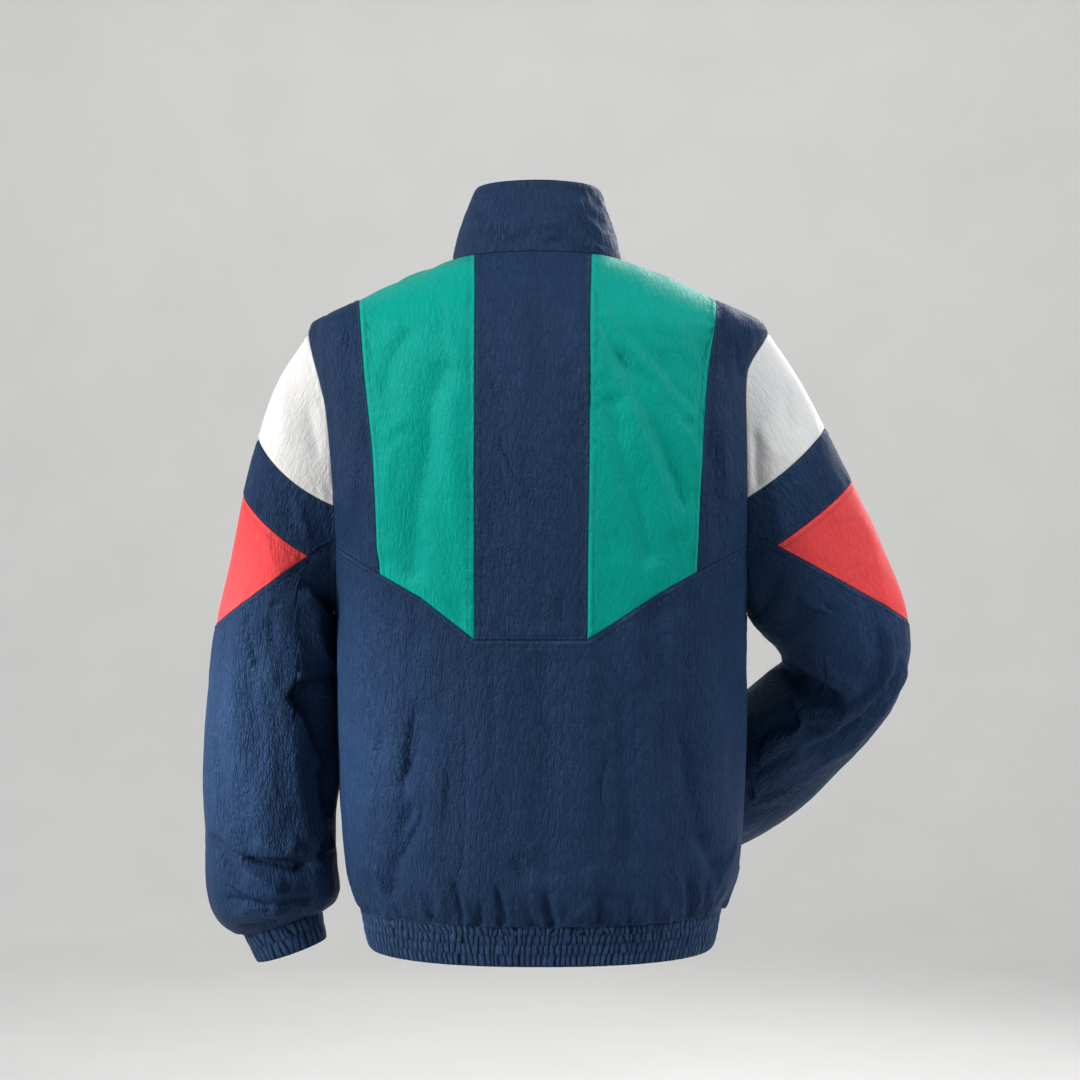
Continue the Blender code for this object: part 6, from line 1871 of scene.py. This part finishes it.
def nylon(name, colour, dark, light, tint, crumple=1.0, roughness=(0.36, 0.52), sheen=0.20,
          heights=(-2.0, 3.2), shading=0.34, fineness=0.70, ribbed=False):
    """Light crinkled nylon. dark and light are the colours of painted shade in its furrows and of painted
    highlight on its ridges; light also tints its sheen.
    """
    graph = Graph(name)
    rising = furrows(graph, leaning(graph, -16.0, 3.2), 330.0, 2.5, 0.5)
    falling = furrows(graph, leaning(graph, 13.0, 3.4), 300.0, 2.5, 0.5)
    turned = graph.span(graph.noise(leaning(graph, 0.0, 1.6), 38.0, 1.0), 0.42, 0.58)
    worms = graph.mix(turned, rising, falling)
    large_cells = crumpled(graph, leaning(graph, -3.0, 3.6), 175.0, 0.0040)
    small_cells = crumpled(graph, leaning(graph, -14.0, 2.4), 390.0, 0.0018)
    facets = graph.plus(graph.span(large_cells, 0.0, 0.34, 0.0, 0.6),
                        graph.span(small_cells, 0.0, 0.36, 0.0, 0.4))
    lumps = graph.noise(leaning(graph, 8.0, 2.2), 120.0, 2.0, 0.55, 0.4)
    patches = graph.noise(leaning(graph, 0.0, 1.8), 24.0, 2.0, 0.5)
    where = graph.span(patches, 0.40, 0.60, 0.55, 1.0)
    creased = graph.span(graph.plus(large_cells, graph.times(patches, 0.16)), 0.07, 0.17)
    lines = graph.times(creased, graph.span(small_cells, 0.0, 0.11, 0.45, 1.0))
    grit = graph.noise(leaning(graph, 0.0, 1.5), 760.0, 1.0)
    weave_values = {"Vector": stretched(graph, 1.0, 1.0), "Scale": 414.0, "Distortion": 0.6, "Detail": 1.0,
                    "Detail Scale": 60.0}
    warp = graph.node("ShaderNodeTexWave", weave_values, bands_direction="X").outputs["Fac"]
    weft = graph.node("ShaderNodeTexWave", weave_values, bands_direction="Y").outputs["Fac"]
    weave = graph.times(warp, weft)

    seam_value = graph.attribute("seam_distance")
    # Painted light and shade from the cloth's fine relief: lighter where it rises, darker in its hollows.
    painted_relief_shade = graph.span(graph.attribute("relief"), *heights)
    # The seam line is painted shade in the crevice of each seam; on ribbed cloth the gaps between the ribs
    # get it too.
    seam_line = graph.span(seam_value, 0.0, 1.1, 1.0, 0.0)
    if ribbed:
        turns = graph.times(graph.attribute("phase"), math.pi)
        rib = graph.math("ABSOLUTE", graph.math("SINE", turns))
        seam_line = graph.math("MAXIMUM", seam_line, graph.span(rib, 0.20, 0.52, 1.0, 0.0))
    # Painted highlight on the puffed ridge beside each seam.
    seam_puff_highlight = graph.times(graph.span(seam_value, 1.0, 2.0), graph.span(seam_value, 3.6, 2.0))

    # How high the fine wrinkles stand: 0 in a furrow and 1 between furrows.
    shallow = graph.less(1.0, worms)
    fine = graph.less(1.0, graph.times(shallow, where))
    # The tone paints shade into the crinkles' furrows and the crease lines between their cells, and light
    # onto the bumps between them; grit and weave add random tone.
    tone = graph.math("MULTIPLY_ADD", fine, 0.45 * fineness, graph.times(painted_relief_shade, shading))
    tone = graph.plus(tone, graph.times(lines, 0.45 * fineness))
    tone = graph.plus(tone, graph.times(facets, 0.35 * fineness))
    for value, share in ((lumps, 0.45), (grit, 0.85 * fineness), (weave, 0.10)):
        tone = graph.plus(tone, graph.times(graph.less(value, 0.5), share))
    tone = graph.math("SUBTRACT", tone, 0.72 * fineness - 0.02, clamp=True)
    tinted = graph.mix(tone, dark, colour)
    # Painted highlight: the highest tones of the crinkles turn towards the light colour.
    painted_ridge_highlight = graph.times(graph.span(tone, 0.66, 1.0), 0.70)
    tinted = graph.mix(painted_ridge_highlight, tinted, light)
    tinted = graph.mix(graph.times(seam_puff_highlight, 0.20), tinted, light)
    # Painted shade colour for seam crevices, rib gaps and stitch grooves.
    painted_crevice_shade = tuple(value * 0.30 for value in dark)
    # Painted shade along the grooves of the stitch rows.
    tinted = graph.mix(graph.times(graph.attribute("sewn"), 0.45), tinted, painted_crevice_shade)
    graph.set("Base Color", graph.mix(seam_line, tinted, painted_crevice_shade))

    low, high = roughness
    gloss = graph.math("MULTIPLY_ADD", shallow, high - low, low)
    graph.set("Roughness", graph.plus(gloss, graph.times(seam_line, 0.2)))
    normal = graph.bump(lumps, 1.0 * MM * crumple)
    normal = graph.bump(facets, 0.75 * MM * crumple, normal)
    normal = graph.bump(fine, 0.50 * MM * crumple, normal)
    normal = graph.bump(lines, 0.12 * MM * crumple, normal)
    graph.set("Normal", graph.bump(weave, 0.035 * MM, normal))
    graph.set("Sheen Weight", sheen)
    graph.set("Sheen Roughness", 0.45)
    graph.set("Sheen Tint", (*light, 1))
    graph.set("Specular IOR Level", 0.20)
    graph.set("Specular Tint", (*tint, 1))
    return graph.material


def mottled(name, colour, light, scale, detail, roughness, bump=0.0):
    """A plain material between two close colours: sewing thread, or the coil's moulded polyester."""
    graph = Graph(name)
    value = graph.noise(graph.place(), scale, detail)
    graph.set("Base Color", graph.mix(value, colour, light))
    graph.set("Roughness", graph.span(value, 0.3, 0.7, *roughness))
    if bump:
        graph.set("Normal", graph.bump(value, bump))
    return graph.material


def woven_tape(name, colour, light):
    """The zip's tape, woven in fine ribs that run across it."""
    graph = Graph(name)
    values = {"Vector": stretched(graph, 1.0, 1.0), "Scale": 1400.0 / 6.2832, "Distortion": 0.5}
    wave = graph.node("ShaderNodeTexWave", values, bands_direction="Y").outputs["Fac"]
    fuzz = graph.noise(stretched(graph, 1.0, 1.0), 900.0, 2.0)
    tone = graph.math("MULTIPLY_ADD", wave, 0.6, graph.times(fuzz, 0.5), clamp=True)
    graph.set("Base Color", graph.mix(tone, colour, light))
    graph.set("Roughness", graph.span(fuzz, 0.3, 0.7, 0.6, 0.8))
    graph.set("Normal", graph.bump(tone, 0.10 * MM))
    return graph.material


def nickel(name):
    """Plated zinc with fine scratches, and a little brighter in small random patches."""
    graph = Graph(name)
    value = graph.noise(graph.place(), 420.0, 4.0, 0.6)
    values = {0: graph.place(), 1: (3000.0, 260.0, 260.0)}
    drawn_out = graph.node("ShaderNodeVectorMath", values, operation="MULTIPLY").outputs["Vector"]
    scratches = graph.noise(drawn_out, 1.0, 2.0)
    graph.set("Base Color", graph.mix(value, (0.50, 0.49, 0.47), (0.74, 0.73, 0.70)))
    graph.set("Metallic", 1.0)
    rough = graph.math("MULTIPLY_ADD", scratches, 0.16, 0.16)
    graph.set("Roughness", graph.plus(rough, graph.times(value, 0.10)))
    graph.set("Normal", graph.bump(scratches, 0.012 * MM))
    return graph.material


def dress(piece, material):
    piece.data.materials.append(material)


# ---- making it all

make_collar()
make_body()
make_waistband()
make_sleeves()
make_tapes()
teeth = make_teeth()
stitches = make_stitches()

# Each nylon's second and third colours are its painted shade and painted highlight; the rib's strong relief
# shading paints its ribs light on top and dark between.
MATERIALS = {
    "navy": nylon("crinkled navy nylon", (0.0190, 0.0460, 0.1130), (0.0095, 0.0260, 0.0700),
                  (0.0360, 0.0780, 0.1700), (0.42, 0.64, 1.0), 1.0, (0.52, 0.66), 0.05),
    "green": nylon("green nylon", (0.0010, 0.3700, 0.3050), (0.0005, 0.2900, 0.2350),
                   (0.0040, 0.4700, 0.4000), (0.20, 1.0, 0.90), 0.50, (0.46, 0.60), 0.03, fineness=0.45),
    "white": nylon("white nylon", (0.8300, 0.8250, 0.8200), (0.7100, 0.7100, 0.7150),
                   (0.8800, 0.8750, 0.8700), (1.0, 1.0, 1.0), 0.35, (0.46, 0.60), 0.03, fineness=0.35),
    "red": nylon("red nylon", (0.9200, 0.0950, 0.1020), (0.7200, 0.0580, 0.0650),
                 (0.9700, 0.1550, 0.1550), (1.0, 0.40, 0.40), 0.50, (0.46, 0.60), 0.03, fineness=0.50),
    "rib": nylon("navy elastic rib", (0.0190, 0.0460, 0.1130), (0.0080, 0.0210, 0.0580),
                 (0.0380, 0.0820, 0.1700), (0.42, 0.64, 1.0), 0.35, (0.54, 0.68), 0.05, (-0.3, 1.3), 0.80,
                 0.40, True),
    "tape": woven_tape("zip tape", (0.010, 0.022, 0.055), (0.030, 0.055, 0.110)),
}
THREADS = {
    "navy": ((0.0120, 0.0300, 0.0750), (0.0300, 0.0620, 0.1300)),
    "green": ((0.0020, 0.2400, 0.1800), (0.0400, 0.5200, 0.4200)),
    "white": ((0.6200, 0.6200, 0.6100), (0.8600, 0.8600, 0.8500)),
    "red": ((0.5600, 0.0350, 0.0420), (0.9000, 0.1600, 0.1600)),
}
for piece, flat, held, rests_on, area, colour in SHEETS:
    dress(piece, MATERIALS[colour])
for colour, piece in stitches.items():
    twisted = mottled("thread " + colour, *THREADS[colour], 2600.0, 2.0, (0.45, 0.65), 0.05 * MM)
    dress(piece, twisted)
moulded = mottled("zip coil", (0.012, 0.026, 0.062), (0.030, 0.052, 0.100), 700.0, 3.0, (0.28, 0.42))
dress(teeth, moulded)

plated = nickel("plated zinc")
for name in ("zip_slider", "zip_pull"):
    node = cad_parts[name]
    for slot in node.material_slots:
        slot.material = plated
    bevel = node.modifiers.new("soft edges", "BEVEL")
    bevel.width = 0.25 * MM
    bevel.segments = 3
    bevel.limit_method = "ANGLE"
    bevel.angle_limit = math.radians(40)


# ---- stage, lights and camera

FLOOR_Z = -1.50


def backdrop():
    """A pale floor that curves up all round into a pale wall, far from the jacket."""
    rings = [(1.0, 0.0), (2.5, 0.0), (4.0, 0.0)]
    rings += [(4.0 + 2.0 * math.sin(t), 2.0 - 2.0 * math.cos(t)) for t in np.linspace(0, RIGHT_ANGLE, 13)[1:]]
    rings += [(6.0, 4.0), (6.0, 6.5)]
    count = 64
    points = [(0.0, 0.0, FLOOR_Z)]
    for radius, height in rings:
        for k in range(count):
            turn = 2 * math.pi * k / count
            points.append((radius * math.cos(turn), radius * math.sin(turn), FLOOR_Z + height))
    faces = [(0, 1 + k, 1 + (k + 1) % count) for k in range(count)]
    for ring in range(len(rings) - 1):
        a, b = 1 + ring * count, 1 + (ring + 1) * count
        faces += [(a + k, b + k, b + (k + 1) % count, a + (k + 1) % count) for k in range(count)]
    made = add_object("backdrop", points, faces)
    paint = Graph("pale paint")
    patches = paint.noise(paint.place(), 3.0, 3.0)
    paint.set("Base Color", paint.mix(patches, (0.56, 0.56, 0.555), (0.62, 0.62, 0.615)))
    paint.set("Roughness", 0.9)
    made.data.materials.append(paint.material)


def soft_light(name, place, target, size, power, colour=(1.0, 1.0, 1.0)):
    lamp = bpy.data.lights.new(name, "AREA")
    lamp.shape = "RECTANGLE"
    lamp.size, lamp.size_y = size
    aim(name, lamp, place, target, power, colour)


def beam(name, place, target, angle, power, colour):
    """A soft-edged beam for one part of the jacket."""
    lamp = bpy.data.lights.new(name, "SPOT")
    lamp.spot_size = math.radians(angle)
    lamp.spot_blend = 1.0
    lamp.shadow_soft_size = 0.10
    aim(name, lamp, place, target, power, colour)


def aim(name, lamp, place, target, power, colour):
    lamp.energy = power
    lamp.color = colour
    made = bpy.data.objects.new(name, lamp)
    made.location = place
    made.rotation_euler = (Vector(target) - Vector(place)).to_track_quat("-Z", "Y").to_euler()
    bpy.context.collection.objects.link(made)


backdrop()
soft_light("key", (2.85, 1.50, 1.35), (0.05, 0.05, -0.30), (0.9, 1.0), 140.0, (1.0, 0.985, 0.96))
soft_light("fill", (-2.65, 0.98, 2.0), (0.0, 0.0, -0.27), (1.0, 1.0), 92.0, (0.96, 0.98, 1.0))
beam("sleeve beam", (2.6, 1.25, -0.1), (0.34, 0.05, -0.46), 8.5, 520.0, (1.0, 0.985, 0.96))
beam("elbow beam", (-2.2, 1.7, 0.6), (-0.33, 0.02, -0.48), 8.0, 105.0, (0.96, 0.98, 1.0))
soft_light("front", (-1.4, -2.4, 1.0), (0.0, 0.0, -0.35), (1.6, 1.6), 60.0)
soft_light("backdrop wash", (0.0, -1.6, 2.6), (0.0, -5.0, 0.2), (2.4, 1.2), 130.0)

world = bpy.data.worlds.new("studio")
world.use_nodes = True
world.node_tree.nodes["Background"].inputs["Color"].default_value = (0.55, 0.57, 0.60, 1)
world.node_tree.nodes["Background"].inputs["Strength"].default_value = 0.05
bpy.context.scene.world = world
bpy.context.scene.view_settings.view_transform = "Standard"

lens = bpy.data.cameras.new("camera")
lens.lens = 70.0
lens.sensor_width = 36.0
camera = bpy.data.objects.new("camera", lens)
camera.location = (0.0, 2.1, -0.278)
camera.rotation_euler = (RIGHT_ANGLE, 0.0, math.pi)
bpy.context.collection.objects.link(camera)
bpy.context.scene.camera = camera
